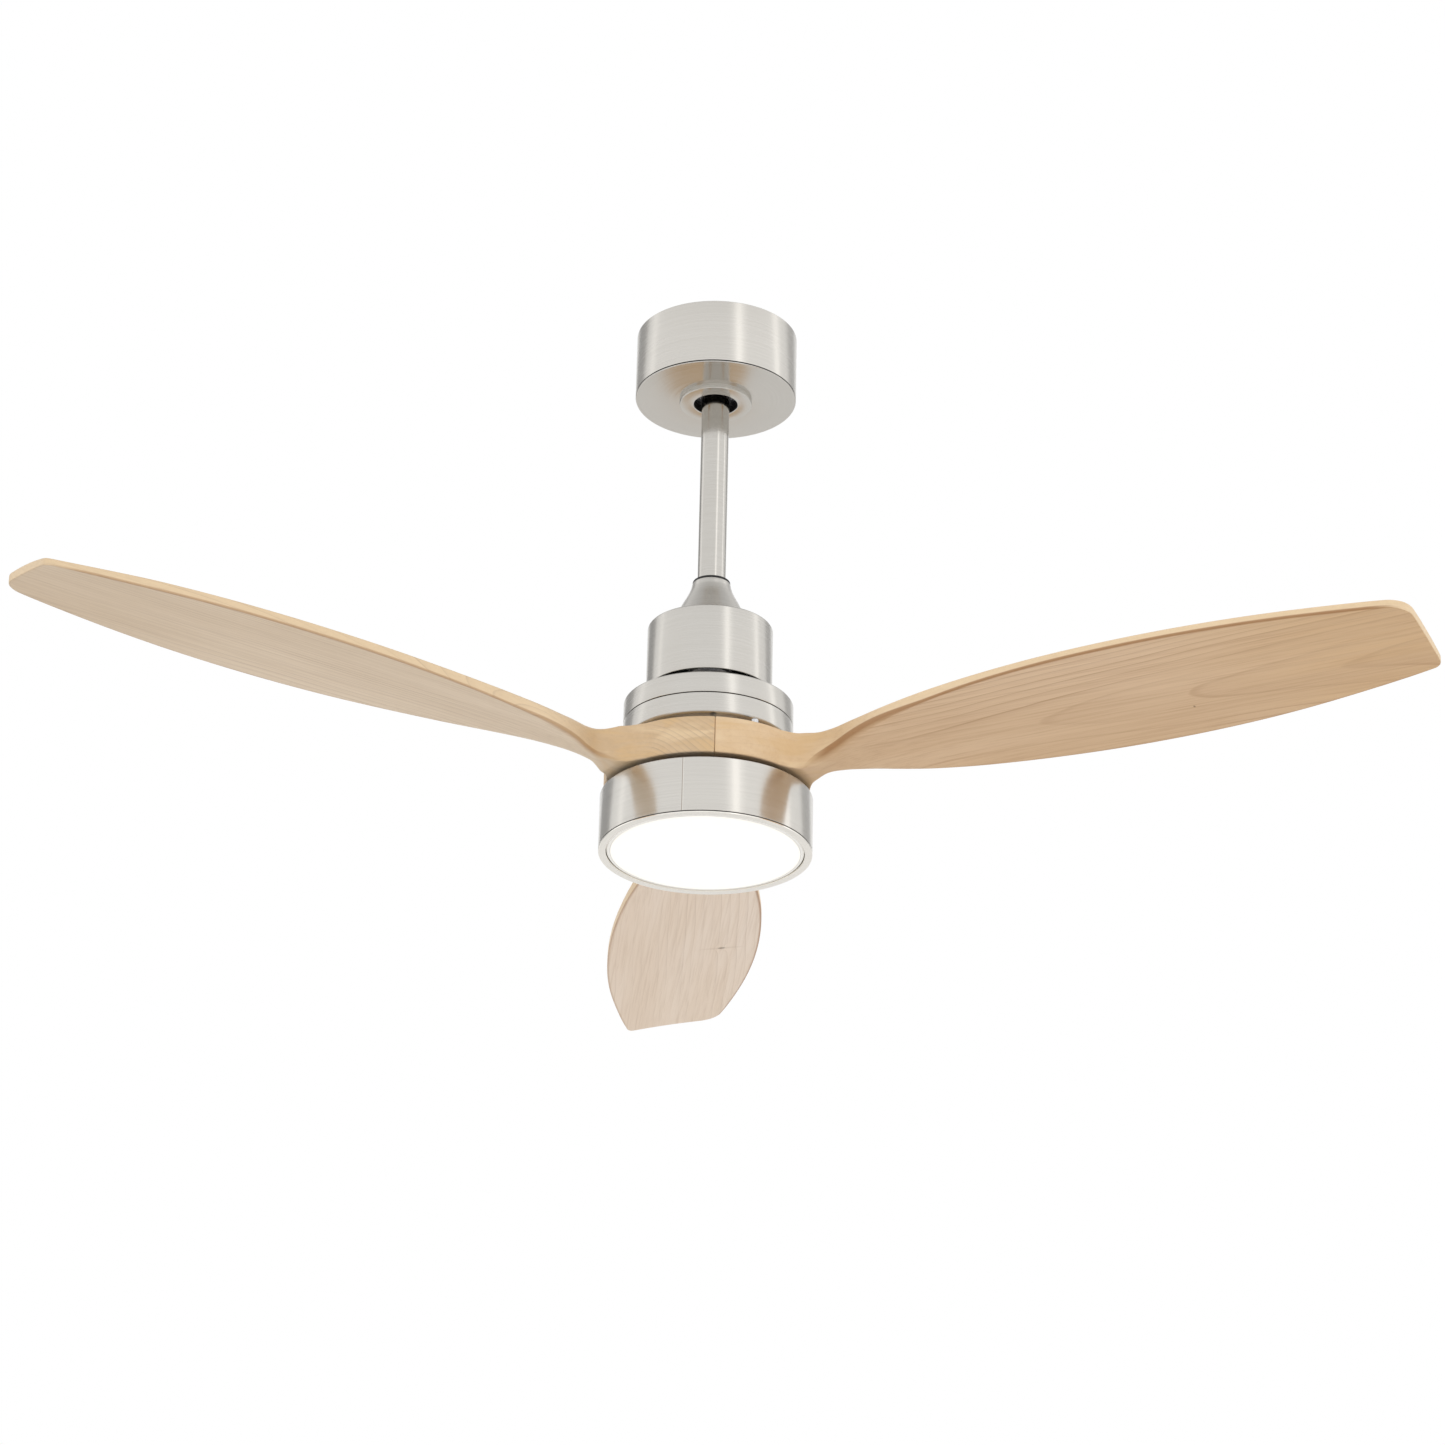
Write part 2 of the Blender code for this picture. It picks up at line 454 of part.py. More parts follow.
def motor():
    shoulder_r, shoulder_top = 12.0, -448.0
    shoulder_bottom = DRUM_TOP - SHEET
    turned("motor_shaft", [(SHAFT_BORE_R, SHAFT_TOP), (SHAFT_R, SHAFT_TOP), (SHAFT_R, shoulder_top),
                           (shoulder_r, shoulder_top), (shoulder_r, shoulder_bottom),
                           (SHAFT_R, shoulder_bottom), (SHAFT_R, SHAFT_BOTTOM), (SHAFT_BORE_R, SHAFT_BOTTOM)],
           MEDIUM, STEEL, SWING_CENTRE)
    stator_core()
    bore, rim = SHAFT_R + GAP, STATOR_BORE_R - GAP - 0.4
    turned("stator_carrier", [(bore, -383), (13, -383), (13, -389.5), (rim, -389.5), (rim, -393.5),
                              (13, -393.5), (13, -400), (bore, -400)], MEDIUM, CAST, SWING_CENTRE)
    for name, top in (("upper_winding", STATOR_TOP + GAP + 5.0), ("lower_winding", STATOR_BOTTOM - GAP)):
        turned(name, [(42, top), (57, top), (59, top - 2.5), (57, top - 5), (42, top - 5), (40.5, top - 2.5)],
               MEDIUM, COPPER, SWING_CENTRE)
    ring("rotor_magnet_ring", 67.0, 71.4, -380.5, -402.5, LARGE, MAGNET, FAN_AXIS)
    inner_r = 71.9
    wall = 2.0
    seat_r, seat_outer_r, lip_r = BEARING_R + GAP, 20.5, 12.0
    cap_top = -364.0
    upper_seat, lower_seat = cap_top - wall, -417.0     # the faces that the two bearings bear on
    upper_rim = -377.0                                  # the lower end of the upper bearing's seat
    turned("upper_rotor_shell", [(lip_r, cap_top), (seat_outer_r, cap_top), (seat_outer_r, HOUSING_TOP),
                                 (HOUSING_R - 1.5, HOUSING_TOP), (HOUSING_R, HOUSING_TOP - 1.5),
                                 (HOUSING_R, HOUSING_SEAM), (inner_r, HOUSING_SEAM),
                                 (inner_r, HOUSING_TOP - wall), (seat_outer_r, HOUSING_TOP - wall),
                                 (seat_outer_r, upper_rim), (seat_r, upper_rim), (seat_r, upper_seat),
                                 (lip_r, upper_seat)],
           LARGE, NICKEL, FAN_AXIS)
    lower_top = HOUSING_SEAM - GAP
    boss_bottom = HUB_TOP + GAP
    floor, seat_rim = HOUSING_BOTTOM + wall + 0.2, -406.5
    shell = turned("lower_rotor_shell", [(inner_r, lower_top), (HOUSING_R, lower_top),
                                         (HOUSING_R, HOUSING_BOTTOM + 2.5), (HOUSING_R - 2.5, HOUSING_BOTTOM),
                                         (BOSS_R, HOUSING_BOTTOM), (BOSS_R, boss_bottom),
                                         (lip_r, boss_bottom), (lip_r, lower_seat), (seat_r, lower_seat),
                                         (seat_r, seat_rim),
                                         (seat_outer_r, seat_rim), (seat_outer_r, floor), (inner_r, floor)],
                   LARGE, NICKEL, FAN_AXIS)
    for number, x, y in blade_screw_places():
        cut(shell, drill(f"boss_hole_{number}", BLADE_SCREW_HOLE_R, (x, y, HUB_TOP - 1),
                         (x, y, floor - 3.5), TINY))
    for name, top in (("upper_bearing", upper_seat - GAP), ("lower_bearing", lower_seat + GAP + BEARING_H)):
        ring(name, SHAFT_R + GAP, BEARING_R, top, top - BEARING_H, MEDIUM, BEARING_STEEL, FAN_AXIS)


# ---- Blades -------------------------------------------------------------------------------------
BLADE_SCREW_PLACE_R, BLADE_SCREW_SPREAD_DEG = 50.0, 26.0
BLADE_SCREW_R, BLADE_SCREW_HOLE_R, BLADE_SCREW_LENGTH = 2.5, 2.8, 43.0
RIM_SCREW_PLACE_R, RIM_SCREW_DEG = 80.5, -33.8
RIM_SCREW_R, RIM_SCREW_LENGTH = 1.5, 13.0
RIM_HEAD_R, RIM_HEAD_H = 3.4, 7.0     # a tall cheese head, within a driver's reach past the motor


def blade_angle(number):
    return FIRST_BLADE_DEG + number * 360.0 / BLADE_COUNT


def around(radius, degrees):
    return radius * math.cos(math.radians(degrees)), radius * math.sin(math.radians(degrees))


def blade_screw_places():
    places = []
    for number in range(BLADE_COUNT):
        for side in (-1, 1):
            x, y = around(BLADE_SCREW_PLACE_R, blade_angle(number) + side * BLADE_SCREW_SPREAD_DEG)
            places.append((len(places) + 1, x, y))
    return places


def edge_offset(outline, at):
    """A smooth curve through an edge's points, by cubic pieces with each point's slope taken
    from its neighbours."""
    start = HUB_R * math.cos(math.radians(FILLET_START_DEG)), HUB_R * math.sin(math.radians(FILLET_START_DEG))
    out, side = np.array([start] + outline, dtype=float).T
    slope = np.gradient(side, out)
    i = int(np.clip(np.searchsorted(out, at) - 1, 0, len(out) - 2))
    span = out[i + 1] - out[i]
    t = (at - out[i]) / span
    return ((2 * t ** 3 - 3 * t ** 2 + 1) * side[i] + (t ** 3 - 2 * t ** 2 + t) * span * slope[i]
            + (3 * t ** 2 - 2 * t ** 3) * side[i + 1] + (t ** 3 - t ** 2) * span * slope[i + 1])


def ease(low, high, value):
    t = min(max((value - low) / (high - low), 0.0), 1.0)
    return t * t * (3 - 2 * t)


def blade_heights(out):
    """Heights of the four long edges: leading top and bottom, trailing top and bottom."""
    depth = HUB_TOP - HUB_BOTTOM
    reach = max(out - NECK_R, 0.0)
    along = min(reach / (BLADE_TIP_R - NECK_R), 1.0)
    fade = math.exp(-reach / THINNING)
    leading_top = HUB_TOP + LEADING_LIFT * ease(NECK_R, 1.06 * BLADE_TIP_R, out)
    leading_bottom = leading_top - (LEADING_T + (depth - LEADING_T) * fade)
    trailing_bottom = HUB_BOTTOM + TRAILING_LIFT * ease(95, 160, out) + TIP_LIFT * along ** TIP_RISE
    tip_thinning = 1.0 - 0.3 * ease(560, 660, out)
    trailing_top = trailing_bottom + (TRAILING_T + (depth - TRAILING_T) * fade) * tip_thinning
    return leading_top, leading_bottom, min(trailing_top, HUB_TOP), trailing_bottom


def blade_section(out, leading, trailing, bulge=0.0):
    """A closed loop of points across the blade: over the top from trailing to leading edge, and back
    below.  Heights are shared out between the two edges as they would run on past the rounded tip.
    The crown fades out towards the hub; bulge bends the section outwards in the middle."""
    leading_top, leading_bottom, trailing_top, trailing_bottom = blade_heights(out)
    if out > TIP_START:
        full_leading = edge_offset(LEADING_EDGE, TIP_START)
        full_trailing = edge_offset(TRAILING_EDGE, TIP_START)
    else:
        full_leading, full_trailing = leading, trailing
    crown = ease(120, 260, out)
    across = np.linspace(-1, 1, 5)
    loop = []
    for v, low, high, lift in ([(v, trailing_top, leading_top, CROWN_TOP) for v in across]
                               + [(v, trailing_bottom, leading_bottom, CROWN_BOTTOM) for v in across[::-1]]):
        side = -trailing + (trailing + leading) * (v + 1) / 2
        share = (side + full_trailing) / (full_leading + full_trailing)
        arch = 4 * share * (1 - share)
        loop.append(((out + bulge * (1 - v * v)) * MM, -side * MM,
                     (low + (high - low) * share + lift * crown * arch) * MM))
    return loop


def blade_mesh():
    """A third of the hub and one blade, carved from one plank: a loft of straight sections, along +X."""
    half = math.pi / BLADE_COUNT
    inner_side = HUB_BORE_R * math.sin(half) - SEAM_GAP
    sections = [blade_section(HUB_BORE_R / 2, inner_side, inner_side, HUB_BORE_R / 2)]
    for angle in np.linspace(half, math.radians(FILLET_START_DEG), 5):
        side = HUB_R * math.sin(angle) - (SEAM_GAP if angle == half else 0.0)
        sections.append(blade_section(HUB_R * math.cos(angle), side, side))
    for out in STATIONS:
        sections.append(blade_section(out, edge_offset(LEADING_EDGE, out), edge_offset(TRAILING_EDGE, out)))
    count = len(sections[0])
    points = [p for section in sections for p in section]
    faces = [tuple(reversed(range(count))), tuple(range(len(points) - count, len(points)))]
    for s in range(len(sections) - 1):
        for i in range(count):
            a, b = s * count + i, s * count + (i + 1) % count
            faces.append((a, b, b + count, a + count))
    mesh = bpy.data.meshes.new("blade")
    mesh.from_pydata(points, [], faces)
    work = bmesh.new()
    work.from_mesh(mesh)
    bmesh.ops.recalc_face_normals(work, faces=work.faces)
    bmesh.ops.triangulate(work, faces=work.faces)
    work.to_mesh(mesh)
    work.free()
    mesh.shade_smooth()
    mesh.set_sharp_from_angle(angle=math.radians(40))
    return mesh


def blades():
    """Blade 1 is drilled and its finished mesh is shared by all three, each turned to its place."""
    pattern = new_object("blade_pattern", blade_mesh(), None)
    for side in (-1, 1):
        x, y = around(BLADE_SCREW_PLACE_R, side * BLADE_SCREW_SPREAD_DEG)
        cut(pattern, drill(f"blade_hole_{side}", BLADE_SCREW_HOLE_R, (x, y, HUB_TOP + 1),
                           (x, y, HUB_BOTTOM - 1), TINY))
    x, y = around(RIM_SCREW_PLACE_R, RIM_SCREW_DEG)
    cut(pattern, drill("rim_hole", RIM_SCREW_R + GAP, (x, y, HUB_TOP + 1),
                       (x, y, HUB_TOP - RIM_SCREW_LENGTH - 1), TINY))
    bpy.context.view_layer.update()
    finished = bpy.data.meshes.new_from_object(pattern.evaluated_get(bpy.context.evaluated_depsgraph_get()))
    finished.name = "drilled_blade"
    for number in range(BLADE_COUNT):
        angle = blade_angle(number)
        blade = new_object(f"blade_{number + 1}", finished, WOOD, FAN_AXIS)
        blade.rotation_euler.z = math.radians(angle)
        x, y = around(RIM_SCREW_PLACE_R, angle + RIM_SCREW_DEG)
        fastener(f"rim_screw_{number + 1}", (x, y, HUB_TOP + GAP), (0, 0, -1), RIM_HEAD_R, RIM_HEAD_H,
                 RIM_SCREW_R, RIM_SCREW_LENGTH, FAN_AXIS)
    for number, x, y in blade_screw_places():
        fastener(f"blade_screw_{number}", (x, y, HUB_BOTTOM - GAP), (0, 0, 1), 5.5, 2.8, BLADE_SCREW_R,
                 BLADE_SCREW_LENGTH, FAN_AXIS)


# ---- Light --------------------------------------------------------------------------------------
LIGHT_PLATE_R, LIGHT_PLATE_T, DRUM_SCREW_PLACE_R = 88.0, 1.5, 78.0
LED_BOARD_R, LED_BOARD_TOP, LED_BOARD_T = 84.0, -485.5, 1.6
DIFFUSER_R, DIFFUSER_RIM_TOP, DIFFUSER_BOTTOM = 86.7, -503.5, -513.9


def light():
    plate_top = DRUM_TOP - SHEET - GAP
    plate_bottom = plate_top - LIGHT_PLATE_T
    drum_bore = 12.4
    plate = ring("light_plate", SHAFT_R + GAP, LIGHT_PLATE_R, plate_top, plate_bottom, MEDIUM, STEEL,
                 SWING_CENTRE)
    wall_bottom = DRUM_BOTTOM + BEZEL_H + GAP
    inner_r, inner_top = DRUM_R - SHEET, DRUM_TOP - SHEET
    drum = turned("light_drum", [(drum_bore, DRUM_TOP), (DRUM_R - 1, DRUM_TOP), (DRUM_R, DRUM_TOP - 1),
                                 (DRUM_R, wall_bottom), (inner_r, wall_bottom), (inner_r, inner_top - 0.3),
                                 (inner_r - 0.3, inner_top), (drum_bore, inner_top)],
                  LARGE, NICKEL, SWING_CENTRE)
    for number in range(3):
        x, y = around(DRUM_SCREW_PLACE_R, 30 + number * 120)
        hole = drill(f"drum_screw_hole_{number + 1}", SMALL_SCREW_R + SCREW_CLEARANCE, (x, y, DRUM_TOP + 1),
                     (x, y, plate_bottom - 1), TINY)
        cut(drum, hole)
        cut(plate, hole)
        fastener(f"drum_screw_{number + 1}", (x, y, DRUM_TOP + GAP), (0, 0, -1), 3.5, 1.6, SMALL_SCREW_R, 6,
                 SWING_CENTRE)
    washer_top = plate_bottom - GAP
    washer_bottom = washer_top - 1.2
    nut_top = washer_bottom - GAP
    ring("shaft_washer", SHAFT_R + GAP, 15.0, washer_top, washer_bottom, MEDIUM, SCREW_STEEL, SWING_CENTRE)
    nut_bore = (SHAFT_R + GAP) / math.cos(math.pi / 6) + 0.2    # a six-sided bore round the shaft
    nut = ring("shaft_nut", nut_bore, 15.0, nut_top, nut_top - 6.0, 6, SCREW_STEEL, SWING_CENTRE)
    nut.modifiers["turn"].use_smooth_shade = False
    ring("led_driver", 22.0, 62.0, plate_bottom - GAP, -481.5, MEDIUM, TERMINAL, SWING_CENTRE)
    led_face = LED_BOARD_TOP - LED_BOARD_T
    turned("led_board", [(0, LED_BOARD_TOP), (LED_BOARD_R, LED_BOARD_TOP), (LED_BOARD_R, led_face),
                         (0, led_face)], MEDIUM, CAST, SWING_CENTRE, closed=False)
    sleeve_out = inner_r - GAP
    turned("bezel_ring", [(sleeve_out - SHEET, DIFFUSER_RIM_TOP), (sleeve_out, DIFFUSER_RIM_TOP),
                          (sleeve_out, wall_bottom - GAP),
                          (DRUM_R, wall_bottom - GAP), (DRUM_R, DRUM_BOTTOM), (BEZEL_R_IN, DRUM_BOTTOM),
                          (BEZEL_R_IN, wall_bottom - GAP), (sleeve_out - SHEET, wall_bottom - GAP)],
           LARGE, NICKEL, SWING_CENTRE)
    wall_in, floor = DIFFUSER_R - 2.0, DIFFUSER_BOTTOM + 2.0
    turned("diffuser", [(0, floor), (wall_in - 0.8, floor), (wall_in, floor + 0.8),
                        (wall_in, DIFFUSER_RIM_TOP), (DIFFUSER_R, DIFFUSER_RIM_TOP), (DIFFUSER_R, floor),
                        (wall_in, DIFFUSER_BOTTOM), (0, DIFFUSER_BOTTOM)],
           LARGE, OPAL, SWING_CENTRE, closed=False)


ceiling_side()
ball_seat()
coupler(rod_and_ball())
covers()
drive_electronics()
motor()
blades()
light()
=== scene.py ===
"""Looks for a ceiling fan with a light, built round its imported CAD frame.

Metres in Blender; the profiles and outlines below are in millimetres, in the frame's own axes:
+Z up, the origin where the hanger bracket meets the ceiling, and Z the axis that the fan turns about.
"""
import json
import math

import bmesh
import bpy
import numpy as np
from mathutils import Matrix, Vector


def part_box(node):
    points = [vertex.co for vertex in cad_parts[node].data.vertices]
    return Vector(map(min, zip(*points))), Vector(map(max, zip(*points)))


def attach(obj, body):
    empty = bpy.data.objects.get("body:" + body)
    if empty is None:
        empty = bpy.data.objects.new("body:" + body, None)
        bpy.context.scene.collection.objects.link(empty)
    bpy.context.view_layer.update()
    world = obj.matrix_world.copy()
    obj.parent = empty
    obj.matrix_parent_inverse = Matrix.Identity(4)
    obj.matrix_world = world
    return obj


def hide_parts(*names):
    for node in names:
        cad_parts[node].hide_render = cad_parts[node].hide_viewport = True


MM = 0.001
GAP = 0.3                   # left between pieces that touch
SHEET = 1.2                 # wall of the drawn metal covers
CONE_WALL = 1.6
ROUND_STEPS = 192           # facets round a large turned piece
ROD_STEPS, SMALL_STEPS = 96, 48
CORNER_STEPS = 5            # steps along each rounded corner of a profile
FLARE_POINTS = 29           # points down the cone's curve

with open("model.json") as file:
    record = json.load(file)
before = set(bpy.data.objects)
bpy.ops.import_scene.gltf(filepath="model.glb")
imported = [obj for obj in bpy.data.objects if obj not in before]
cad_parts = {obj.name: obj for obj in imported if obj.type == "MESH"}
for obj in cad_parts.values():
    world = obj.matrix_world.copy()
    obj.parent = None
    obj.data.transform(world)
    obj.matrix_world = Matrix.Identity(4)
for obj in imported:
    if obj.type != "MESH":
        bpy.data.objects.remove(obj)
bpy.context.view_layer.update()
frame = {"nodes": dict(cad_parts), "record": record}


# ---- Materials ----------------------------------------------------------------------------------
class Look:
    """A material under construction: each call adds one node and returns its output."""

    def __init__(self, name):
        self.material = bpy.data.materials.new(name)
        self.material.use_nodes = True
        self.tree = self.material.node_tree
        self.shader = self.tree.nodes["Principled BSDF"]

    def node(self, kind, inputs=(), **settings):
        made = self.tree.nodes.new(kind)
        for key, value in settings.items():
            setattr(made, key, value)
        for slot, value in inputs:
            self.feed(made.inputs[slot], value)
        return made

    def feed(self, socket, value):
        if isinstance(value, bpy.types.NodeSocket):
            self.tree.links.new(value, socket)
        else:
            socket.default_value = value

    def set(self, **values):
        """Give the shader's sockets a number, a colour or another node's output."""
        for key, value in values.items():
            self.feed(self.shader.inputs[key.replace("_", " ").title().replace("Ior", "IOR")], value)

    def place(self):
        """Where a point is in its object, in metres."""
        return self.node("ShaderNodeTexCoord").outputs["Object"]

    def axes(self, vector):
        made = self.node("ShaderNodeSeparateXYZ", [("Vector", vector)])
        return made.outputs["X"], made.outputs["Y"], made.outputs["Z"]

    def vector(self, x, y, z):
        return self.node("ShaderNodeCombineXYZ", [("X", x), ("Y", y), ("Z", z)]).outputs["Vector"]

    def math(self, operation, first, second=0.0, third=0.0):
        values = list(enumerate((first, second, third)))
        return self.node("ShaderNodeMath", values, operation=operation).outputs["Value"]

    def stretch(self, vector, scale):
        made = self.node("ShaderNodeVectorMath", [(0, vector), (1, scale)], operation='MULTIPLY')
        return made.outputs["Vector"]

    def noise(self, vector, scale=1.0, detail=2.0, roughness=0.5, distortion=0.0):
        made = self.node("ShaderNodeTexNoise", [("Vector", vector), ("Scale", scale), ("Detail", detail),
                                                ("Roughness", roughness), ("Distortion", distortion)])
        return made.outputs["Factor"] if "Factor" in made.outputs else made.outputs["Fac"]

    def remap(self, value, low, high, to_low=0.0, to_high=1.0, smooth=True):
        kind = 'SMOOTHSTEP' if smooth else 'LINEAR'
        inputs = [("Value", value), ("From Min", low), ("From Max", high),
                  ("To Min", to_low), ("To Max", to_high)]
        made = self.node("ShaderNodeMapRange", inputs, interpolation_type=kind)
        return made.outputs["Result"]

    def mix(self, share, first, second):
        made = self.node("ShaderNodeMix", data_type='RGBA')
        colours = [socket for socket in made.inputs if socket.type == 'RGBA']
        self.feed(made.inputs[0], share)
        for socket, value in zip(colours, (first, second)):
            self.feed(socket, (*value, 1.0) if isinstance(value, tuple) else value)
        return next(socket for socket in made.outputs if socket.type == 'RGBA')

    def bump(self, height, distance, strength=1.0):
        inputs = [("Height", height), ("Distance", distance), ("Strength", strength)]
        made = self.node("ShaderNodeBump", inputs)
        self.feed(self.shader.inputs["Normal"], made.outputs["Normal"])


BRUSH_LINES_PER_METRE = 1400.0
BRUSH_LENGTH = 0.6                     # the smaller, the longer each line runs round
BRUSH_ON_FACES = -0.8                  # how closely the lines lie on a flat face
NICKEL_TONES = ((0.600, 0.578, 0.540), (0.640, 0.620, 0.582), (0.62, 0.59, 0.545))


def radius_of(look, x, y):
    return look.math('SQRT', look.math('MULTIPLY_ADD', x, x, look.math('MULTIPLY', y, y)))


def round_brushing(look):
    """Fine lines that run round the Z axis, on walls and flat faces alike."""
    x, y, z = look.axes(look.place())
    radius = look.math('MAXIMUM', radius_of(look, x, y), 1e-4)
    slant = look.math('MULTIPLY_ADD', radius, BRUSH_ON_FACES, z)
    around = look.vector(look.math('MULTIPLY', look.math('DIVIDE', x, radius), BRUSH_LENGTH),
                         look.math('MULTIPLY', look.math('DIVIDE', y, radius), BRUSH_LENGTH),
                         look.math('MULTIPLY', slant, BRUSH_LINES_PER_METRE))
    return look.noise(around, 1.0, 2.0, 0.6)


def brushed_nickel(name, roughness=(0.22, 0.28), brightness=1.0, seam_deg=None, face_polish=0.0,
                   stretch=0.75):
    """Satin nickel, turned and brushed round its axis, whose highlights spread across the brushing by
    stretch; a drawn tube may show its weld as a hairline with a painted highlight beside it, and flat faces
    may be smoother than walls by face_polish."""
    look = Look(name)
    lines = round_brushing(look)
    dark, light, warm = (tuple(brightness * value for value in tone) for tone in NICKEL_TONES)
    clouds = look.noise(look.place(), 9.0, 2.0)
    colour = look.mix(look.remap(lines, 0.3, 0.7), dark, light)
    colour = look.mix(look.remap(clouds, 0.35, 0.65, 0.0, 0.25), colour, warm)
    if seam_deg is not None:
        x, y, _ = look.axes(look.place())
        away = look.math('SUBTRACT', look.math('ARCTAN2', y, x), math.radians(seam_deg))
        weld = look.remap(look.math('ABSOLUTE', away), 0.002, 0.006, 1.0, 0.0)
        # painted highlight: a pale line just beside the weld, where its ridge would catch the light
        beside = look.math('ABSOLUTE', look.math('SUBTRACT', away, 0.009))
        weld_highlight = look.remap(beside, 0.001, 0.006, 1.0, 0.0)
        colour = look.mix(look.math('MULTIPLY', weld_highlight, 0.6), colour, (0.80, 0.77, 0.72))
        colour = look.mix(look.math('MULTIPLY', weld, 0.7), colour, (0.36, 0.31, 0.26))
    upright = look.axes(look.node("ShaderNodeNewGeometry").outputs["Normal"])[2]
    polish = look.remap(look.math('ABSOLUTE', upright), 0.4, 0.8, 0.0, face_polish)
    look.set(base_color=colour, metallic=1.0, anisotropic=stretch, anisotropic_rotation=0.25,
             roughness=look.math('SUBTRACT', look.remap(lines, 0.2, 0.8, *roughness), polish))
    tangent = look.node("ShaderNodeTangent", direction_type='RADIAL', axis='Z')
    look.feed(look.shader.inputs["Tangent"], tangent.outputs["Tangent"])
    look.bump(lines, 0.0000012, 0.5)
    return look.material


def plain_metal(name, dark, light, roughness, grain=900.0, bump=0.00002):
    """Plated, cast or ground metal with a fine even grain."""
    look = Look(name)
    grains = look.noise(look.place(), grain, 4.0, 0.6)
    stains = look.noise(look.place(), 60.0, 3.0)
    colour = look.mix(look.remap(grains, 0.3, 0.7), dark, light)
    colour = look.mix(look.remap(stains, 0.4, 0.75, 0.0, 0.35), colour, dark)
    look.set(base_color=colour, metallic=1.0,
             roughness=look.remap(stains, 0.3, 0.7, roughness - 0.05, roughness + 0.08))
    look.bump(grains, bump)
    return look.material


def moulded(name, dark, light, roughness, grain=1500.0):
    """Moulded plastic, nylon or rubber with a fine spark-eroded grain."""
    look = Look(name)
    grains = look.noise(look.place(), grain, 3.0, 0.6)
    clouds = look.noise(look.place(), 40.0, 2.0)
    look.set(base_color=look.mix(look.remap(clouds, 0.3, 0.7), dark, light),
             roughness=look.remap(grains, 0.3, 0.7, roughness - 0.06, roughness + 0.06))
    look.bump(grains, 0.00003)
    return look.material


BLADE_MIDDLE = 0.36                    # metres out from the axis
SWAY, WAVER = 0.012, 0.0011            # metres that the rings wander slowly, and finely


def wander(look, place, scale, depth):
    return look.remap(look.noise(look.stretch(place, scale), 1.0, 2.0), 0.0, 1.0, -depth, depth, smooth=False)


def ring_lines(look, place, pith, drift, ring_mm, knot=None):
    """Lines of late wood: the growth rings are cylinders round a pith that runs nearly along X, so the carved
    faces cut them into arches, straight grain or end grain.  pith is where it passes (y, z) in mm at the
    blade's middle, drift how far it moves per mm of length, knot a small ring (x, y, radius, ...) in mm that
    they bend round."""
    x, y, z = look.axes(place)
    along = look.math('SUBTRACT', x, BLADE_MIDDLE)
    sway = wander(look, place, (2.6, 5.0, 5.0), SWAY)
    waver = wander(look, place, (8.0, 22.0, 22.0), WAVER)
    pith_y, pith_z = (look.math('MULTIPLY_ADD', along, move, at * MM) for move, at in zip(drift, pith))
    off_y = look.math('ADD', look.math('SUBTRACT', y, pith_y), sway)
    off_z = look.math('SUBTRACT', z, pith_z)
    out = look.math('ADD', radius_of(look, off_y, off_z), waver)
    if knot is not None:
        radius = knot[2] * MM
        squares = look.math('MULTIPLY', knot_distance(look, place, knot, 1.0), -1.0 / (9 * radius ** 2))
        closeness = look.math('EXPONENT', squares)
        out = look.math('ADD', out, look.math('MULTIPLY', closeness, 2.0 * radius))
    years = look.math('MULTIPLY', out, 1.0 / (ring_mm * MM))
    year = look.math('FRACT', years)
    whim = look.noise(look.vector(0.0, 0.0, look.math('FLOOR', years)), 3.7, 0.0)
    cloud = look.noise(look.stretch(place, (4.0, 20.0, 20.0)), 1.0, 2.0)
    strength = look.math('MULTIPLY', look.remap(whim, 0.3, 0.7, 0.3, 1.0),
                         look.remap(cloud, 0.35, 0.6, 0.35, 1.0))
    end = look.remap(year, 0.955, 1.0, 1.0, 0.0)
    soft = look.math('MULTIPLY', look.remap(year, 0.40, 0.95), 0.32)
    sharp = look.math('MULTIPLY', look.remap(year, 0.84, 0.94), 0.68)
    return look.math('MULTIPLY', look.math('MULTIPLY', look.math('ADD', soft, sharp), end), strength)


def knot_distance(look, place, knot, spread):
    """The square of the distance to a knot's centre, seen from below; spread widens it across the blade."""
    x, y, _ = look.axes(place)
    along = look.math('SUBTRACT', x, knot[0] * MM)
    across = look.math('DIVIDE', look.math('SUBTRACT', y, knot[1] * MM), spread)
    return look.math('ADD', look.math('POWER', along, 2.0), look.math('POWER', across, 2.0))


# the last tone is painted light, laid on the walls of the blade's edges
GOLDEN, GLINT, EDGE_LIGHT_TONE = (0.78, 0.52, 0.25), (0.93, 0.72, 0.46), (0.97, 0.76, 0.50)
# the second tone is painted shade, for the shadow line along a blade's lower long edges
KNOT_TONE, EDGE_SHADE_TONE = (0.20, 0.10, 0.045), (0.36, 0.155, 0.045)


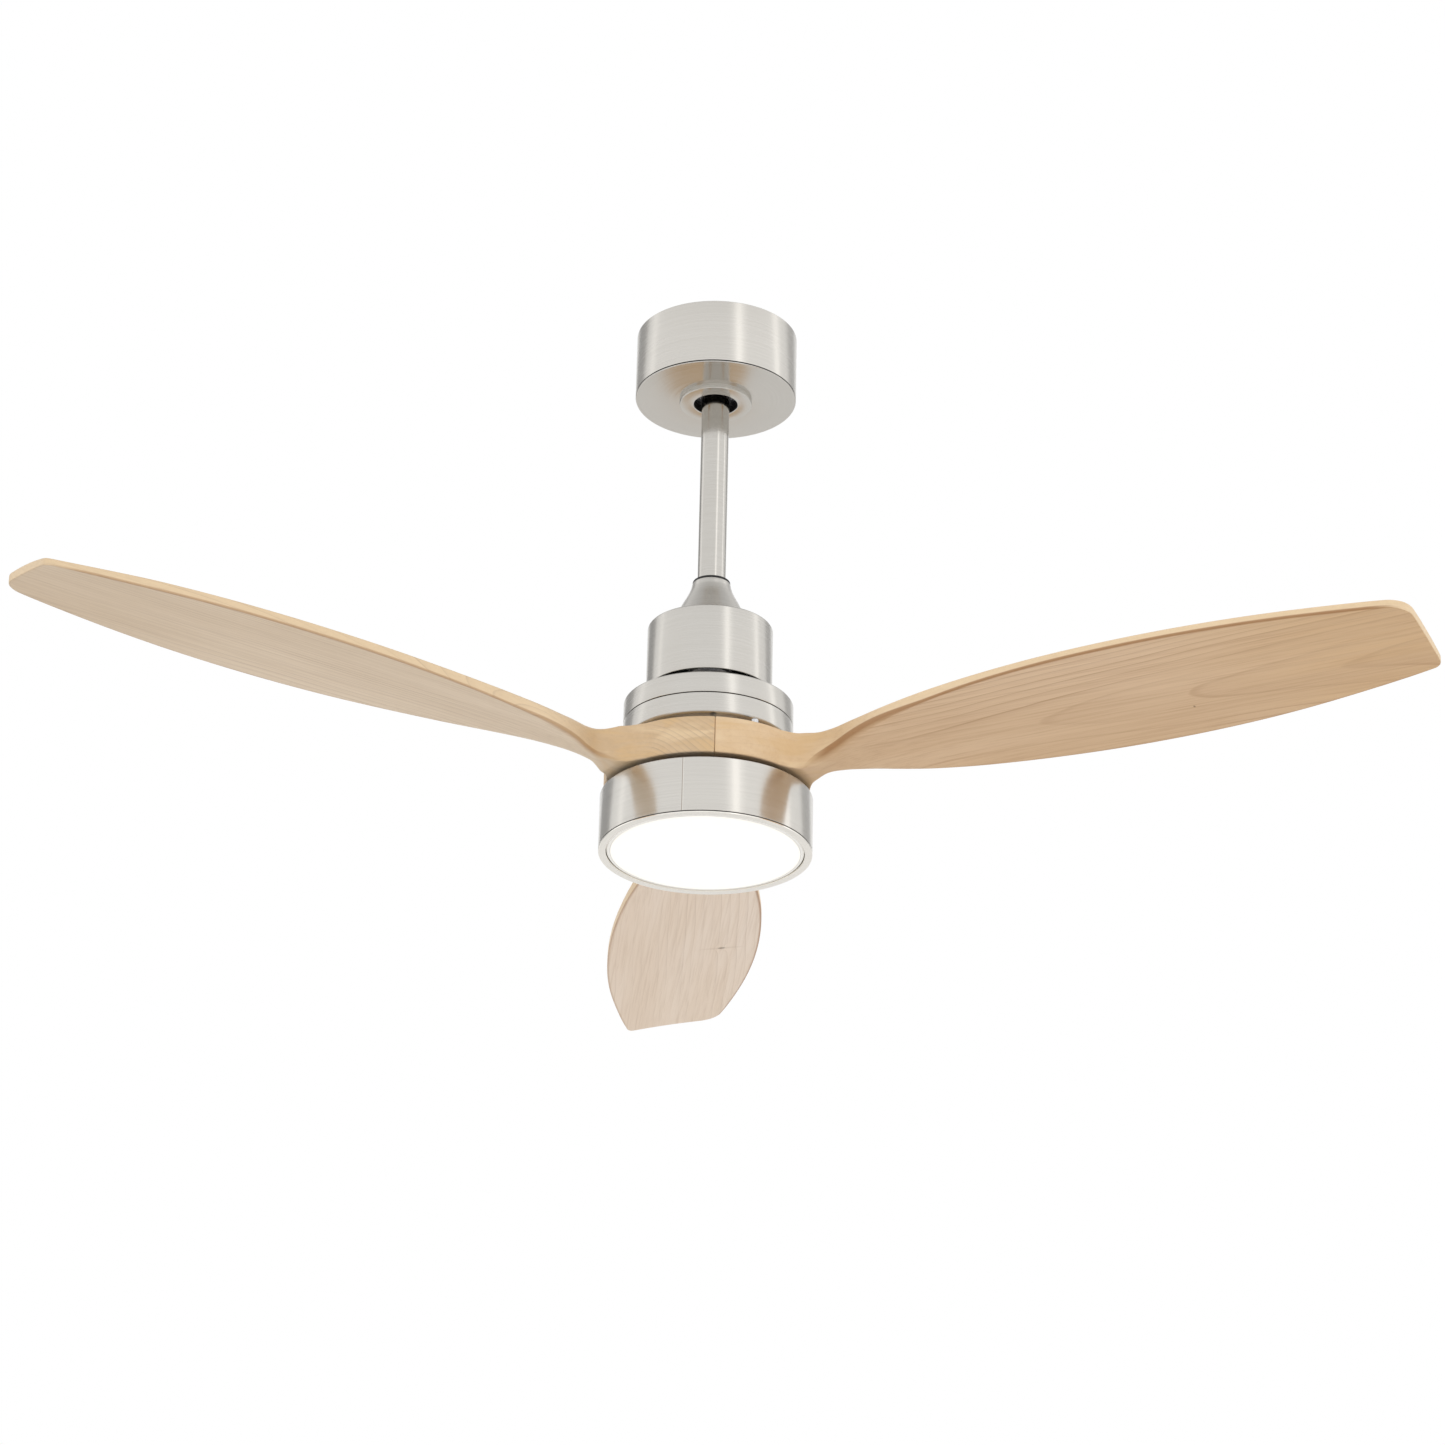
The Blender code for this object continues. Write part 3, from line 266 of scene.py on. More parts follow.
def blade_wood(name, turn_deg, blade_rings, hub_rings, line_depths, tones, knot=None):
    """Pale solid wood under satin lacquer, in the blade's own axes: X out along it, its leading side at -Y.
    line_depths says how strongly the rings show on the blade's faces, and on its hub and edges.  tones are
    the pale and deep colours of the top and edges, then of the underside, then the colours of the
    underside's tip and of the ring lines; the underside's tones differ from those of the top and edges partly
    as the wood's own colour and partly as painted light, the sheen and light that fall on it from below.
    knot is a small one: where it is (x, y) and its radius in mm, and how much wider the streak through it is
    than it is long."""
    look = Look(name)
    turn_back = [("Vector", look.place()), ("Angle", -math.radians(turn_deg))]
    place = look.node("ShaderNodeVectorRotate", turn_back, rotation_type='Z_AXIS').outputs["Vector"]
    x, y, _ = look.axes(place)
    upright = look.axes(look.node("ShaderNodeNewGeometry").outputs["Normal"])[2]
    under = look.remap(upright, -0.9, -0.4, 1.0, 0.0)
    flat = look.remap(look.math('ABSOLUTE', upright), 0.4, 0.9)
    edge = look.math('MULTIPLY', look.remap(x, 0.12, 0.20, 0.0, 0.6), look.math('SUBTRACT', 1.0, flat))
    hub_or_edge = look.math('MAXIMUM', look.remap(x, 0.080, 0.105, 1.0, 0.0), edge)
    on_hub = look.math('MULTIPLY', hub_or_edge, line_depths[1])
    on_blade = look.math('MULTIPLY', look.remap(x, 0.13, 0.20, 0.0, line_depths[0]), flat)
    late = look.math('ADD', look.math('MULTIPLY', ring_lines(look, place, *blade_rings, knot), on_blade),
                     look.math('MULTIPLY', ring_lines(look, place, *hub_rings), on_hub))
    fibres = look.noise(look.stretch(place, (7.0, 420.0, 420.0)), 1.0, 4.0, 0.7)
    streaks = look.noise(look.stretch(place, (2.0, 120.0, 120.0)), 1.0, 3.0, 0.6)
    mottle = look.noise(look.stretch(place, (22.0, 22.0, 75.0)), 1.0, 2.0, 0.5, 0.6)
    bands = look.noise(look.stretch(place, (1.6, 16.0, 16.0)), 1.0, 2.0, 0.5)
    edge_pale, edge_deep, under_pale, under_deep, tip, line = tones
    # the underside turns towards its tip tone further out and towards its trailing side
    tipward = look.math('MAXIMUM', look.remap(x, 0.38, 0.62, 0.0, 0.9), look.remap(y, -0.005, 0.07, 0.0, 0.45))
    tip_blend = look.math('MULTIPLY', tipward, look.remap(bands, 0.25, 0.6, 0.6, 1.0))
    # partly painted light: the underside takes its own tones, paler or greyer where sheen and light from
    # below fall on it
    pale = look.mix(under, edge_pale, look.mix(tip_blend, under_pale, tip))
    deep = look.mix(under, edge_deep, under_deep)
    colour = look.mix(look.remap(bands, 0.3, 0.7, 0.0, 0.7), pale, deep)
    colour = look.mix(look.remap(streaks, 0.35, 0.7, 0.0, 0.45), colour, deep)
    fibre_depth = look.math('MULTIPLY', look.remap(fibres, 0.42, 0.72), look.remap(x, 0.09, 0.17, 0.13, 0.34))
    colour = look.mix(fibre_depth, colour, line)
    near_hub = look.remap(x, 0.10, 0.16, 1.0, 0.0)
    # GOLDEN patches are the wood's own tone; GLINT patches are painted glints in the figure near the hub
    for far, tone in ((0.3, GOLDEN), (0.7, GLINT)):
        patches = look.math('MULTIPLY', look.remap(mottle, 0.5, far, 0.0, 0.55), near_hub)
        colour = look.mix(patches, colour, tone)
    # painted light: the edge walls are paled, as if lit more than the faces
    colour = look.mix(edge, colour, EDGE_LIGHT_TONE)
    colour = look.mix(late, colour, line)
    if knot is not None:
        radius = knot[2] * MM
        streak = look.remap(knot_distance(look, place, knot, knot[3]), 0.0, (1.2 * radius) ** 2, 0.28, 0.0)
        colour = look.mix(streak, colour, line)
        mark = look.remap(knot_distance(look, place, knot, 1.6), (0.3 * radius) ** 2, radius ** 2, 0.7, 0.0)
        colour = look.mix(mark, colour, KNOT_TONE)
    # painted shade: a dark shadow line along the lower long edges, read from the mesh's attribute
    edge_shade = look.node("ShaderNodeAttribute", attribute_name=EDGE_SHADE).outputs["Fac"]
    colour = look.mix(look.math('MULTIPLY', edge_shade, 0.8), colour, EDGE_SHADE_TONE)
    look.set(base_color=colour, roughness=look.remap(fibres, 0.3, 0.7, 0.42, 0.54), coat_weight=0.2,
             coat_roughness=0.3, specular_ior_level=0.4)
    look.bump(look.math('MULTIPLY_ADD', late, 0.6, fibres), 0.00003)
    return look.material


LIT_R = 0.0834                         # metres; outside it the diffuser's rim is dull


def glowing_opal():
    """An opal panel lit evenly from behind, with a duller moulded rim outside a dark ring painted in the glow
    as a fine groove's shade.
    """
    look = Look("opal_diffuser")
    grains = look.noise(look.place(), 700.0, 2.0)
    x, y, _ = look.axes(look.place())
    radius = radius_of(look, x, y)
    rim = look.remap(radius, LIT_R, LIT_R + 0.0004)
    from_groove = look.math('ABSOLUTE', look.math('SUBTRACT', radius, LIT_R))
    # painted shade: a dark ring in the glow where a groove would be shaded; the panel has no groove
    groove_shade = look.remap(from_groove, 0.0001, 0.0006, 1.0, 0.0)
    glow = look.mix(rim, (1.0, 0.93, 0.80), (0.42, 0.40, 0.36))
    look.set(base_color=look.mix(look.remap(grains, 0.3, 0.7), (0.80, 0.79, 0.765), (0.82, 0.81, 0.785)),
             roughness=0.45, emission_strength=0.5,
             emission_color=look.mix(groove_shade, glow, (0.02, 0.018, 0.015)))
    look.bump(grains, 0.00001)
    return look.material


NICKEL = brushed_nickel("brushed_nickel")
FINE_NICKEL = brushed_nickel("fine_brushed_nickel", (0.23, 0.28), 1.05, face_polish=0.09)
POLISHED_NICKEL = brushed_nickel("polished_nickel", (0.11, 0.15), 0.94, stretch=0.5)
SPUN_NICKEL = brushed_nickel("spun_nickel", (0.30, 0.34), 1.02, stretch=0.2)
# partly painted light: the bezel's polished nickel, made brighter than nickel can be, for the light it
# catches from below
NICKEL_PAINTED_BRIGHT = brushed_nickel("nickel_painted_bright", (0.18, 0.24), 1.55)
SEAMED_NICKEL = brushed_nickel("brushed_nickel_tube", (0.20, 0.26), 1.06, seam_deg=-103.0)
# painted shade: near-black steel, darker than bare steel, for the shadowed insides, joints and gaps of the
# covers
SHADE_STEEL = plain_metal("steel_painted_shade", (0.035, 0.034, 0.033), (0.06, 0.058, 0.055), 0.6)
ZINC = plain_metal("zinc_plated_steel", (0.50, 0.51, 0.54), (0.68, 0.69, 0.71), 0.34)
SCREW_STEEL = plain_metal("screw_steel", (0.60, 0.60, 0.61), (0.78, 0.78, 0.79), 0.25, 1500.0)
CAST = plain_metal("cast_aluminium", (0.42, 0.42, 0.43), (0.60, 0.60, 0.61), 0.5, 700.0, 0.0001)
BEARING_STEEL = plain_metal("bearing_steel", (0.66, 0.67, 0.69), (0.74, 0.75, 0.77), 0.18, 2000.0)
LAMINATION = plain_metal("stator_steel", (0.20, 0.21, 0.23), (0.30, 0.31, 0.33), 0.45, 1200.0)
COPPER = plain_metal("copper_winding", (0.60, 0.25, 0.12), (0.80, 0.40, 0.22), 0.35, 1300.0, 0.0002)
MAGNET = moulded("magnet", (0.07, 0.07, 0.075), (0.10, 0.10, 0.11), 0.45)
NYLON = moulded("nylon", (0.68, 0.67, 0.62), (0.76, 0.75, 0.71), 0.42)
TERMINAL = moulded("terminal_plastic", (0.80, 0.79, 0.75), (0.87, 0.86, 0.83), 0.42)
BOARD = moulded("circuit_board", (0.008, 0.012, 0.010), (0.012, 0.020, 0.016), 0.38, 600.0)
INSULATION = moulded("lead_insulation", (0.02, 0.02, 0.022), (0.045, 0.045, 0.05), 0.45)
RUBBER = moulded("black_rubber", (0.012, 0.012, 0.013), (0.022, 0.022, 0.023), 0.6)
OPAL = glowing_opal()

# Each blade is its own board: its pith, drift and ring width on the blade, and then those on the hub; how
# strongly the rings show; its tones; and its knot.
FIRST_BLADE_DEG, BLADE_STEP_DEG, BLADE_COUNT = -26.2, 120.0, 3
# the attribute that holds the painted shadow line along the blades' lower edges
EDGE_SHADE = "edge_painted_shade"
WOODS = (
    blade_wood(
        "blade_wood_1", FIRST_BLADE_DEG,
        ((-9, -534.4), (0.0, 0.05), 4.4), ((-30, -640), (0, 0), 6.0), (0.7, 0.12),
        ((0.86, 0.635, 0.40), (0.78, 0.54, 0.305), (0.83, 0.595, 0.39), (0.72, 0.485, 0.285),
         (0.76, 0.49, 0.24), (0.47, 0.26, 0.125)),
        (445, 24, 1.1, 1.0)),
    blade_wood(
        "blade_wood_2", FIRST_BLADE_DEG + BLADE_STEP_DEG,
        ((150, -470), (-0.04, 0.01), 8.5), ((30, -480), (0, 0), 3.0), (0.42, 0.4),
        ((0.76, 0.56, 0.36), (0.66, 0.46, 0.27), (0.95, 0.80, 0.67), (0.88, 0.70, 0.54),
         (0.95, 0.78, 0.62), (0.62, 0.45, 0.31)),
        (436, -47, 2.8, 8.0)),
    blade_wood(
        "blade_wood_3", FIRST_BLADE_DEG + 2 * BLADE_STEP_DEG,
        ((-160, -600), (0.02, 0.0), 3.4), ((25, -428), (0, 0.2), 4.2), (0.75, 0.95),
        ((0.77, 0.56, 0.345), (0.66, 0.46, 0.26), (0.88, 0.71, 0.525), (0.76, 0.59, 0.41),
         (0.70, 0.53, 0.355), (0.48, 0.34, 0.225))),
)

SLOT_LOOKS = {
    "brushed_nickel": NICKEL, "zinc_plated_steel": ZINC, "screw_steel": SCREW_STEEL, "cast_aluminium": CAST,
    "bearing_steel": BEARING_STEEL, "stator_steel": LAMINATION, "magnet": MAGNET, "copper_winding": COPPER,
    "blade_wood": WOODS[0], "black_rubber": RUBBER, "nylon": NYLON, "terminal_plastic": TERMINAL,
    "circuit_board": BOARD, "lead_insulation": INSULATION, "opal_diffuser": OPAL,
}


# ---- Shapes -------------------------------------------------------------------------------------
def new_piece(name, mesh, look, node, auto_smooth_deg=35.0):
    """A finished piece that stands for a CAD node and rides on that node's body."""
    mesh.materials.clear()
    mesh.materials.append(look)
    mesh.shade_smooth()
    mesh.set_sharp_from_angle(angle=math.radians(auto_smooth_deg))
    made = bpy.data.objects.new(name, mesh)
    bpy.context.scene.collection.objects.link(made)
    settle(made, node)
    return made


def settle(piece, node):
    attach(piece, BODY_OF[node])
    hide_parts(node)


BODY_OF = {node: body for body, nodes in frame["record"]["behaviour"]["bodies"].items() for node in nodes}
SLOT_OF = {part["node"]: part["material_slot"] for part in frame["record"]["subparts"]}


def extent(node):
    """A turned node's outer radius, top and bottom in mm."""
    low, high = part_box(node)
    return high.x / MM, high.z / MM, low.z / MM


def rounded(profile):
    """Replace each corner given as (radius, height, fillet) by an arc."""
    corners = [(np.array(point[:2], dtype=float), point[2] if len(point) > 2 else 0.0) for point in profile]
    made = []
    for i, (corner, fillet) in enumerate(corners):
        before, after = corners[i - 1][0], corners[(i + 1) % len(corners)][0]
        if fillet <= 0:
            made.append(tuple(corner))
            continue
        to_before = (before - corner) / np.linalg.norm(before - corner)
        to_after = (after - corner) / np.linalg.norm(after - corner)
        half = math.acos(float(np.clip(to_before @ to_after, -1, 1))) / 2
        start, end = corner + to_before * fillet / math.tan(half), corner + to_after * fillet / math.tan(half)
        bisector = to_before + to_after
        centre = corner + bisector / np.linalg.norm(bisector) * fillet / math.sin(half)
        first, last = start - centre, end - centre
        sweep = math.pi - 2 * half
        for step in range(CORNER_STEPS + 1):
            share = step / CORNER_STEPS
            spoke = (first * math.sin((1 - share) * sweep) + last * math.sin(share * sweep)) / math.sin(sweep)
            made.append(tuple(centre + spoke))
    return made


def turned_mesh(name, profile, steps=ROUND_STEPS, closed=True):
    """Turn a profile of (radius, height[, fillet]) in mm about Z, down its outer side."""
    points = rounded(profile)
    count = len(points)
    edges = [(i, i + 1) for i in range(count - 1)] + ([(count - 1, 0)] if closed else [])
    outline = bpy.data.meshes.new(name)
    outline.from_pydata([(r * MM, 0.0, z * MM) for r, z in points], edges, [])
    guide = bpy.data.objects.new(name, outline)
    bpy.context.scene.collection.objects.link(guide)
    screw = guide.modifiers.new("turn", 'SCREW')
    screw.axis = 'Z'
    screw.steps = screw.render_steps = steps
    screw.use_merge_vertices = True
    screw.merge_threshold = 0.000005
    bpy.context.view_layer.update()
    made = bpy.data.meshes.new_from_object(guide.evaluated_get(bpy.context.evaluated_depsgraph_get()))
    made.name = name
    bpy.data.objects.remove(guide)
    return made


def turned(node, profile, look, steps=ROUND_STEPS, closed=True):
    return new_piece(node + "_finish", turned_mesh(node, profile, steps, closed), look, node)


def paint_shade_inside(piece, radius, low, high):
    """Paint a cover near-black within a radius and between two heights, in mm: painted shade for its shadowed
    inside, joints and gaps.
    """
    piece.data.materials.append(SHADE_STEEL)
    for face in piece.data.polygons:
        middle = face.center / MM
        if math.hypot(middle.x, middle.y) < radius and low < middle.z < high:
            face.material_index = 1


# ---- Canopy, rod and covers ---------------------------------------------------------------------
def rolled_bead(radius, bottom):
    """The end of a drawn wall: a fine groove above a rounded bead."""
    return [(radius, bottom + 2.1, 0.1), (radius - 0.8, bottom + 2.0), (radius - 0.8, bottom + 1.1),
            (radius, bottom + 1.0, 0.2), (radius, bottom, 0.7)]


def canopy_and_collar():
    radius, top, bottom = extent("canopy")
    hole, floor_top = 21.6, bottom + SHEET
    cup = turned("canopy", [(radius - SHEET, top, 0.4), (radius, top, 0.5)] + rolled_bead(radius, bottom)
                 + [(hole, bottom), (hole, floor_top), (radius - SHEET, floor_top, 0.8)], FINE_NICKEL)
    paint_shade_inside(cup, radius - 0.4 * SHEET, bottom + 1.0, top - 1)
    radius, top, bottom = extent("canopy_collar")
    throat_r, throat_top = extent("rod_grommet")[0] + 3.1, -60.0
    step, lip = radius - 1.0, top - 2.0
    skirt, floor_top = step - 1.4, bottom + SHEET
    ring = turned("canopy_collar", [
        (skirt, top), (radius, top, 0.3), (radius, lip, 0.7), (step, lip, 0.2), (step, bottom, 0.9),
        (throat_r, bottom, 0.8), (throat_r, throat_top, 0.3), (throat_r + SHEET, throat_top, 0.3),
        (throat_r + SHEET, floor_top), (skirt, floor_top)], FINE_NICKEL)
    paint_shade_inside(ring, step - 1.5, bottom + 1.0, top)


def rod_and_covers():
    radius, top, bottom = extent("downrod")
    bore = radius - 1.8
    turned("downrod", [(bore, top, 0.3), (radius, top, 0.4), (radius, bottom, 0.4), (bore, bottom, 0.3)],
           POLISHED_NICKEL, ROD_STEPS)
    outer, ring_top, ring_bottom = extent("rod_grommet")
    turned("rod_grommet", [(radius + GAP, ring_top, 0.5), (outer, ring_top, 1.1), (outer, ring_bottom, 0.3),
                           (radius + GAP, ring_bottom)], RUBBER, ROD_STEPS)
    base, top, bottom = extent("cone_cover")
    flare = smooth_flare([(17.2, top), (17.7, top - 3.4), (19.1, top - 7.9), (26.2, top - 22.4),
                          (base, bottom)])
    turned("cone_cover", [(flare[0][0] - 0.3, top, 0.0)] + flare[1:-1] + [(base, bottom)]
           + [(r - CONE_WALL, z) for r, z in reversed(flare)], SPUN_NICKEL)
    radius, top, bottom = extent("upper_cover")
    mouth, inner, under = 19.0, radius - SHEET, top - SHEET
    cover = turned("upper_cover", [(mouth, top), (radius, top, 2.0), (radius, bottom, 0.5),
                                   (inner, bottom, 0.3), (inner, under, 1.3), (mouth, under)], NICKEL)
    paint_shade_inside(cover, radius - 0.9 * SHEET, bottom, under + 0.1)


def smooth_flare(points):
    """A smooth curve through (radius, height) points, from top to bottom."""
    radii, heights = np.array(points, dtype=float).T
    slopes = np.gradient(radii, heights)
    made = []
    for z in np.linspace(heights[0], heights[-1], FLARE_POINTS):
        i = int(np.clip(np.searchsorted(-heights, -z) - 1, 0, len(heights) - 2))
        made.append((hermite(heights, radii, slopes, i, z), z))
    return made


def hermite(places, values, slopes, i, at):
    """The cubic between points i and i + 1 that keeps their values and slopes."""
    span = places[i + 1] - places[i]
    t = (at - places[i]) / span
    return ((2 * t ** 3 - 3 * t ** 2 + 1) * values[i] + (t ** 3 - 2 * t ** 2 + t) * span * slopes[i]
            + (3 * t ** 2 - 2 * t ** 3) * values[i + 1] + (t ** 3 - t ** 2) * span * slopes[i + 1])


def motor_housing():
    """Two shells of the turning motor case; they meet at a fine joint whose faces are painted near black as
    shade.
    """
    radius, top, seam = extent("upper_rotor_shell")
    shaft_hole, inner, half_joint = 12.0, 71.9, 0.25
    bearing_r, bearing_top, seat_r, seat_rim = 17.8, -366.0, 20.5, -377.0
    shoulder = -372.8
    plate_under = shoulder - 2
    upper = turned("upper_rotor_shell", [
        (shaft_hole, top, 0.3), (seat_r, top, 1.0), (seat_r, shoulder), (radius, shoulder, 1.5),
        (radius, seam + half_joint, 0.4), (inner, seam + half_joint), (inner, plate_under),
        (seat_r, plate_under), (seat_r, seat_rim), (bearing_r, seat_rim), (bearing_r, bearing_top),
        (shaft_hole, bearing_top)], NICKEL)
    paint_shade_inside(upper, radius - 0.5, seam, shoulder - 1)
    radius, top, boss_bottom = extent("lower_rotor_shell")
    bottom, plate_top, boss_r = -412.2, -410.0, 62.0
    bearing_bottom, seat_r, seat_rim = -417.0, 21.0, -406.5
    lower = turned("lower_rotor_shell", [
        (inner, top - half_joint), (radius, top - half_joint, 0.4), (radius, bottom, 2.5), (boss_r, bottom),
        (boss_r, boss_bottom), (shaft_hole, boss_bottom), (shaft_hole, bearing_bottom),
        (bearing_r, bearing_bottom), (bearing_r, seat_rim), (seat_r, seat_rim), (seat_r, plate_top),
        (inner, plate_top)], NICKEL)
    paint_shade_inside(lower, radius - 0.5, bottom + 1, top)


# ---- Blades -------------------------------------------------------------------------------------
HUB_R, HUB_BORE_R, HUB_TOP, HUB_BOTTOM = 90.9, 30.0, -422.7, -456.7
# Edges seen from above: (distance out, offset to the side).
LEADING_EDGE = [(95, 19.5), (104, 16.8), (114, 15.6), (128, 18.5), (150, 27.5), (180, 39.5), (229, 55.2),
                (318, 74.4), (417, 82.8), (517, 80.0), (596, 69.9), (630, 63.7), (656, 57.6)]
TRAILING_EDGE = [(95, 17.0), (106, 10.0), (118, 7.0), (130, 10.5), (145, 18.0), (160, 25.0), (190, 36.5),
                 (229, 46.1), (318, 59.7), (417, 64.3), (517, 58.3), (596, 45.1), (630, 38.0), (659, 30.8)]
# Below, a pair called _ON or _OFF gives the distances out between which something sets in or fades.
FILLET_START_DEG = 20.0     # where the hub's round wall turns out into the neck
BLADE_TIP_R, NECK_R = 660.0, 100.0
LEADING_T, TRAILING_T = 7.0, 8.6       # the blade's edges are this thick
THINNING = 60.0             # the distance in which the hub's depth thins down to them
TIP_THINNING = 0.3          # the share that the trailing edge loses on the way to the tip
LEADING_LIFT, TRAILING_LIFT, TRAILING_LIFT_ON = 5.5, 4.5, (95, 160)
TIP_LIFT, TIP_RISE = 11.5, 2.7         # the trailing edge's curl to the tip, and how late it comes
CROWN_TOP, CROWN_BOTTOM = 2.6, 1.2     # how far the faces arch between the edges
CROWN_ON = (120, 260)
SEAM_GAP = 0.4              # half the gap between two blades
EDGE_ROUND, SEAM_ROUND = 1.3, 1.1
CARVED_ROUND = {            # added at the neck: (leading side, lower edge)
    (True, True): 6.0, (True, False): 2.0, (False, True): 3.0, (False, False): 5.0}
CARVED_ON, CARVED_OFF = (96, 116), (150, 240)
LEADING_CORNER_R, TRAILING_CORNER_R = 18.0, 8.0
LEADING_TIP, TRAILING_TIP = np.array([656.2, 57.6]), np.array([659.4, -30.6])
CORNER_TURN = 1 - math.sqrt(0.5)       # half way round a corner, in shares of its radius
INNER_BLEND = np.linspace(1, 0, 8)     # the first rows straighten from the bore's arc
ROUND_SHARES = (0.0, 0.04, 0.15, 0.35, 0.62, 1.0)   # of a rounded edge's width
BEYOND_ROUND = 1.9          # a strip outside the rounding, in shares of its width
SHADE_W, SHADE_RISE = 2.1, 1.0         # the painted shadow line along a long lower edge, and how far it creeps up the wall
TRAILING_SHADE = 0.6        # its strength on the trailing side
SHADE_ON, SHADE_OFF = (98, 125), (625, 655)
ACROSS = 22                 # strips between the rounded edges
WALL_ROWS = 26              # rows round the hub's wall
FINE_ROW, COARSE_ROW, FINE_ROWS_TO = 1.6, 5.0, 200.0
TIP_ROWS_FROM = 560.0       # beyond here the rows bend to follow the tip


def ease(low, high, value):
    t = min(max((value - low) / (high - low), 0.0), 1.0)
    return t * t * (3 - 2 * t)


def edge_offset(outline, at):
    start = HUB_R * math.cos(math.radians(FILLET_START_DEG)), HUB_R * math.sin(math.radians(FILLET_START_DEG))
    out, side = np.array([start] + outline, dtype=float).T
    slopes = np.gradient(side, out)
    i = int(np.clip(np.searchsorted(out, at) - 1, 0, len(out) - 2))
    return hermite(out, side, slopes, i, at)


def blade_heights(out):
    """Heights of the four long edges: leading top and bottom, trailing top and bottom."""
    depth = HUB_TOP - HUB_BOTTOM
    reach = max(out - NECK_R, 0.0)
    along = min(reach / (BLADE_TIP_R - NECK_R), 1.0)
    fade = math.exp(-reach / THINNING)
    leading_top = HUB_TOP + LEADING_LIFT * ease(NECK_R, 1.06 * BLADE_TIP_R, out)
    leading_bottom = leading_top - (LEADING_T + (depth - LEADING_T) * fade)
    trailing_bottom = HUB_BOTTOM + TRAILING_LIFT * ease(*TRAILING_LIFT_ON, out) + TIP_LIFT * along ** TIP_RISE
    kept = 1.0 - TIP_THINNING * ease(TIP_ROWS_FROM, BLADE_TIP_R, out)
    trailing_top = trailing_bottom + (TRAILING_T + (depth - TRAILING_T) * fade) * kept
    return leading_top, leading_bottom, min(trailing_top, HUB_TOP), trailing_bottom


def edge_round(out, leading, under):
    """Radius of a long edge: crisp on the hub and blade, soft where the neck is carved."""
    soft = ease(*CARVED_ON, out) * (1 - ease(*CARVED_OFF, out))
    return EDGE_ROUND + soft * CARVED_ROUND[leading, under]


def hub_rows():
    """Half widths of the hub's sector: along its seam from the bore, then round its wall to the fillet."""
    half = math.pi / BLADE_COUNT
    along_seam = np.linspace(HUB_BORE_R / 2, HUB_R * math.cos(half), len(INNER_BLEND))[:-1]
    rows = [(out, out * math.tan(half) - SEAM_GAP) for out in along_seam]
    wall_end = HUB_R * (half - math.radians(FILLET_START_DEG))
    corner = [SEAM_ROUND * share for share in ROUND_SHARES[:-1]]
    for arc in corner + list(np.linspace(SEAM_ROUND, wall_end, WALL_ROWS)):
        angle = half - arc / HUB_R
        radius = HUB_R - rounding(arc, SEAM_ROUND)
        out = radius * math.cos(angle)
        rows.append((out, min(radius * math.sin(angle), out * math.tan(half) - SEAM_GAP)))
    return rows


def rounding(distance, radius):
    """How far a rounded edge has fallen away at a distance in from it."""
    if distance >= radius:
        return 0.0
    return radius - math.sqrt(max(radius ** 2 - (radius - distance) ** 2, 0.0))


def long_edge(outline, out, corner_r, tip_out):
    """An edge's offset; its last stretch turns round the tip's corner."""
    return edge_offset(outline, out) - rounding(tip_out - out, corner_r)


def tip_end(share):
    """The tip between its two rounded corners, from trailing (0) to leading (1)."""
    span = LEADING_TIP - TRAILING_TIP
    length = np.linalg.norm(span)
    low, high = TRAILING_CORNER_R * CORNER_TURN, length - LEADING_CORNER_R * CORNER_TURN
    at = low + (high - low) * share
    point = TRAILING_TIP + span * at / length
    point[0] -= rounding(at, TRAILING_CORNER_R) + rounding(length - at, LEADING_CORNER_R)
    return point


def blade_rows():
    """The plank's rows, seen from above: the trailing end, the leading end, and how far the row bends to the
    tip's shape."""
    rows = [((out, -side), (out, side), 0.0) for out, side in hub_rows()]
    fine = list(np.arange(rows[-1][0][0] + 1.0, FINE_ROWS_TO, FINE_ROW))
    for out in fine + list(np.arange(FINE_ROWS_TO, TIP_ROWS_FROM, COARSE_ROW)):
        rows.append(((out, -edge_offset(TRAILING_EDGE, out)), (out, edge_offset(LEADING_EDGE, out)), 0.0))
    ends = [tip[0] - corner_r * CORNER_TURN
            for tip, corner_r in ((TRAILING_TIP, TRAILING_CORNER_R), (LEADING_TIP, LEADING_CORNER_R))]
    reach = BLADE_TIP_R - TIP_ROWS_FROM
    rounded_end = [EDGE_ROUND * share for share in reversed(ROUND_SHARES[:-1])]
    for back in list(np.linspace(reach, 14, 18)) + list(np.linspace(13, EDGE_ROUND, 10)) + rounded_end:
        share = 1 - back / reach
        trail_out, lead_out = (TIP_ROWS_FROM + share * (end - TIP_ROWS_FROM) for end in ends)
        rows.append(((trail_out, -long_edge(TRAILING_EDGE, trail_out, TRAILING_CORNER_R, TRAILING_TIP[0])),
                     (lead_out, long_edge(LEADING_EDGE, lead_out, LEADING_CORNER_R, LEADING_TIP[0])), share))
    return rows


def face_heights(out, side):
    """Top and bottom of the plank at a point, before its edges are rounded."""
    leading_top, leading_bottom, trailing_top, trailing_bottom = blade_heights(out)
    share, arch = 0.5, 0.0
    if out > HUB_R:
        full_leading, full_trailing = edge_offset(LEADING_EDGE, out), edge_offset(TRAILING_EDGE, out)
        share = min(max((side + full_trailing) / (full_leading + full_trailing), 0.0), 1.0)
        arch = 4 * share * (1 - share) * ease(*CROWN_ON, out)
    return (trailing_top + (leading_top - trailing_top) * share + CROWN_TOP * arch,
            trailing_bottom + (leading_bottom - trailing_bottom) * share + CROWN_BOTTOM * arch)


def shade_depth(distance, radius, out):
    """How deep the painted shade is beside a long lower edge: none on the hub or at the tip."""
    width = SHADE_W + 0.25 * (radius - EDGE_ROUND)
    fading = 1 - ease(0.35 * width, width, distance)
    return fading * ease(*SHADE_ON, out) * (1 - ease(*SHADE_OFF, out))


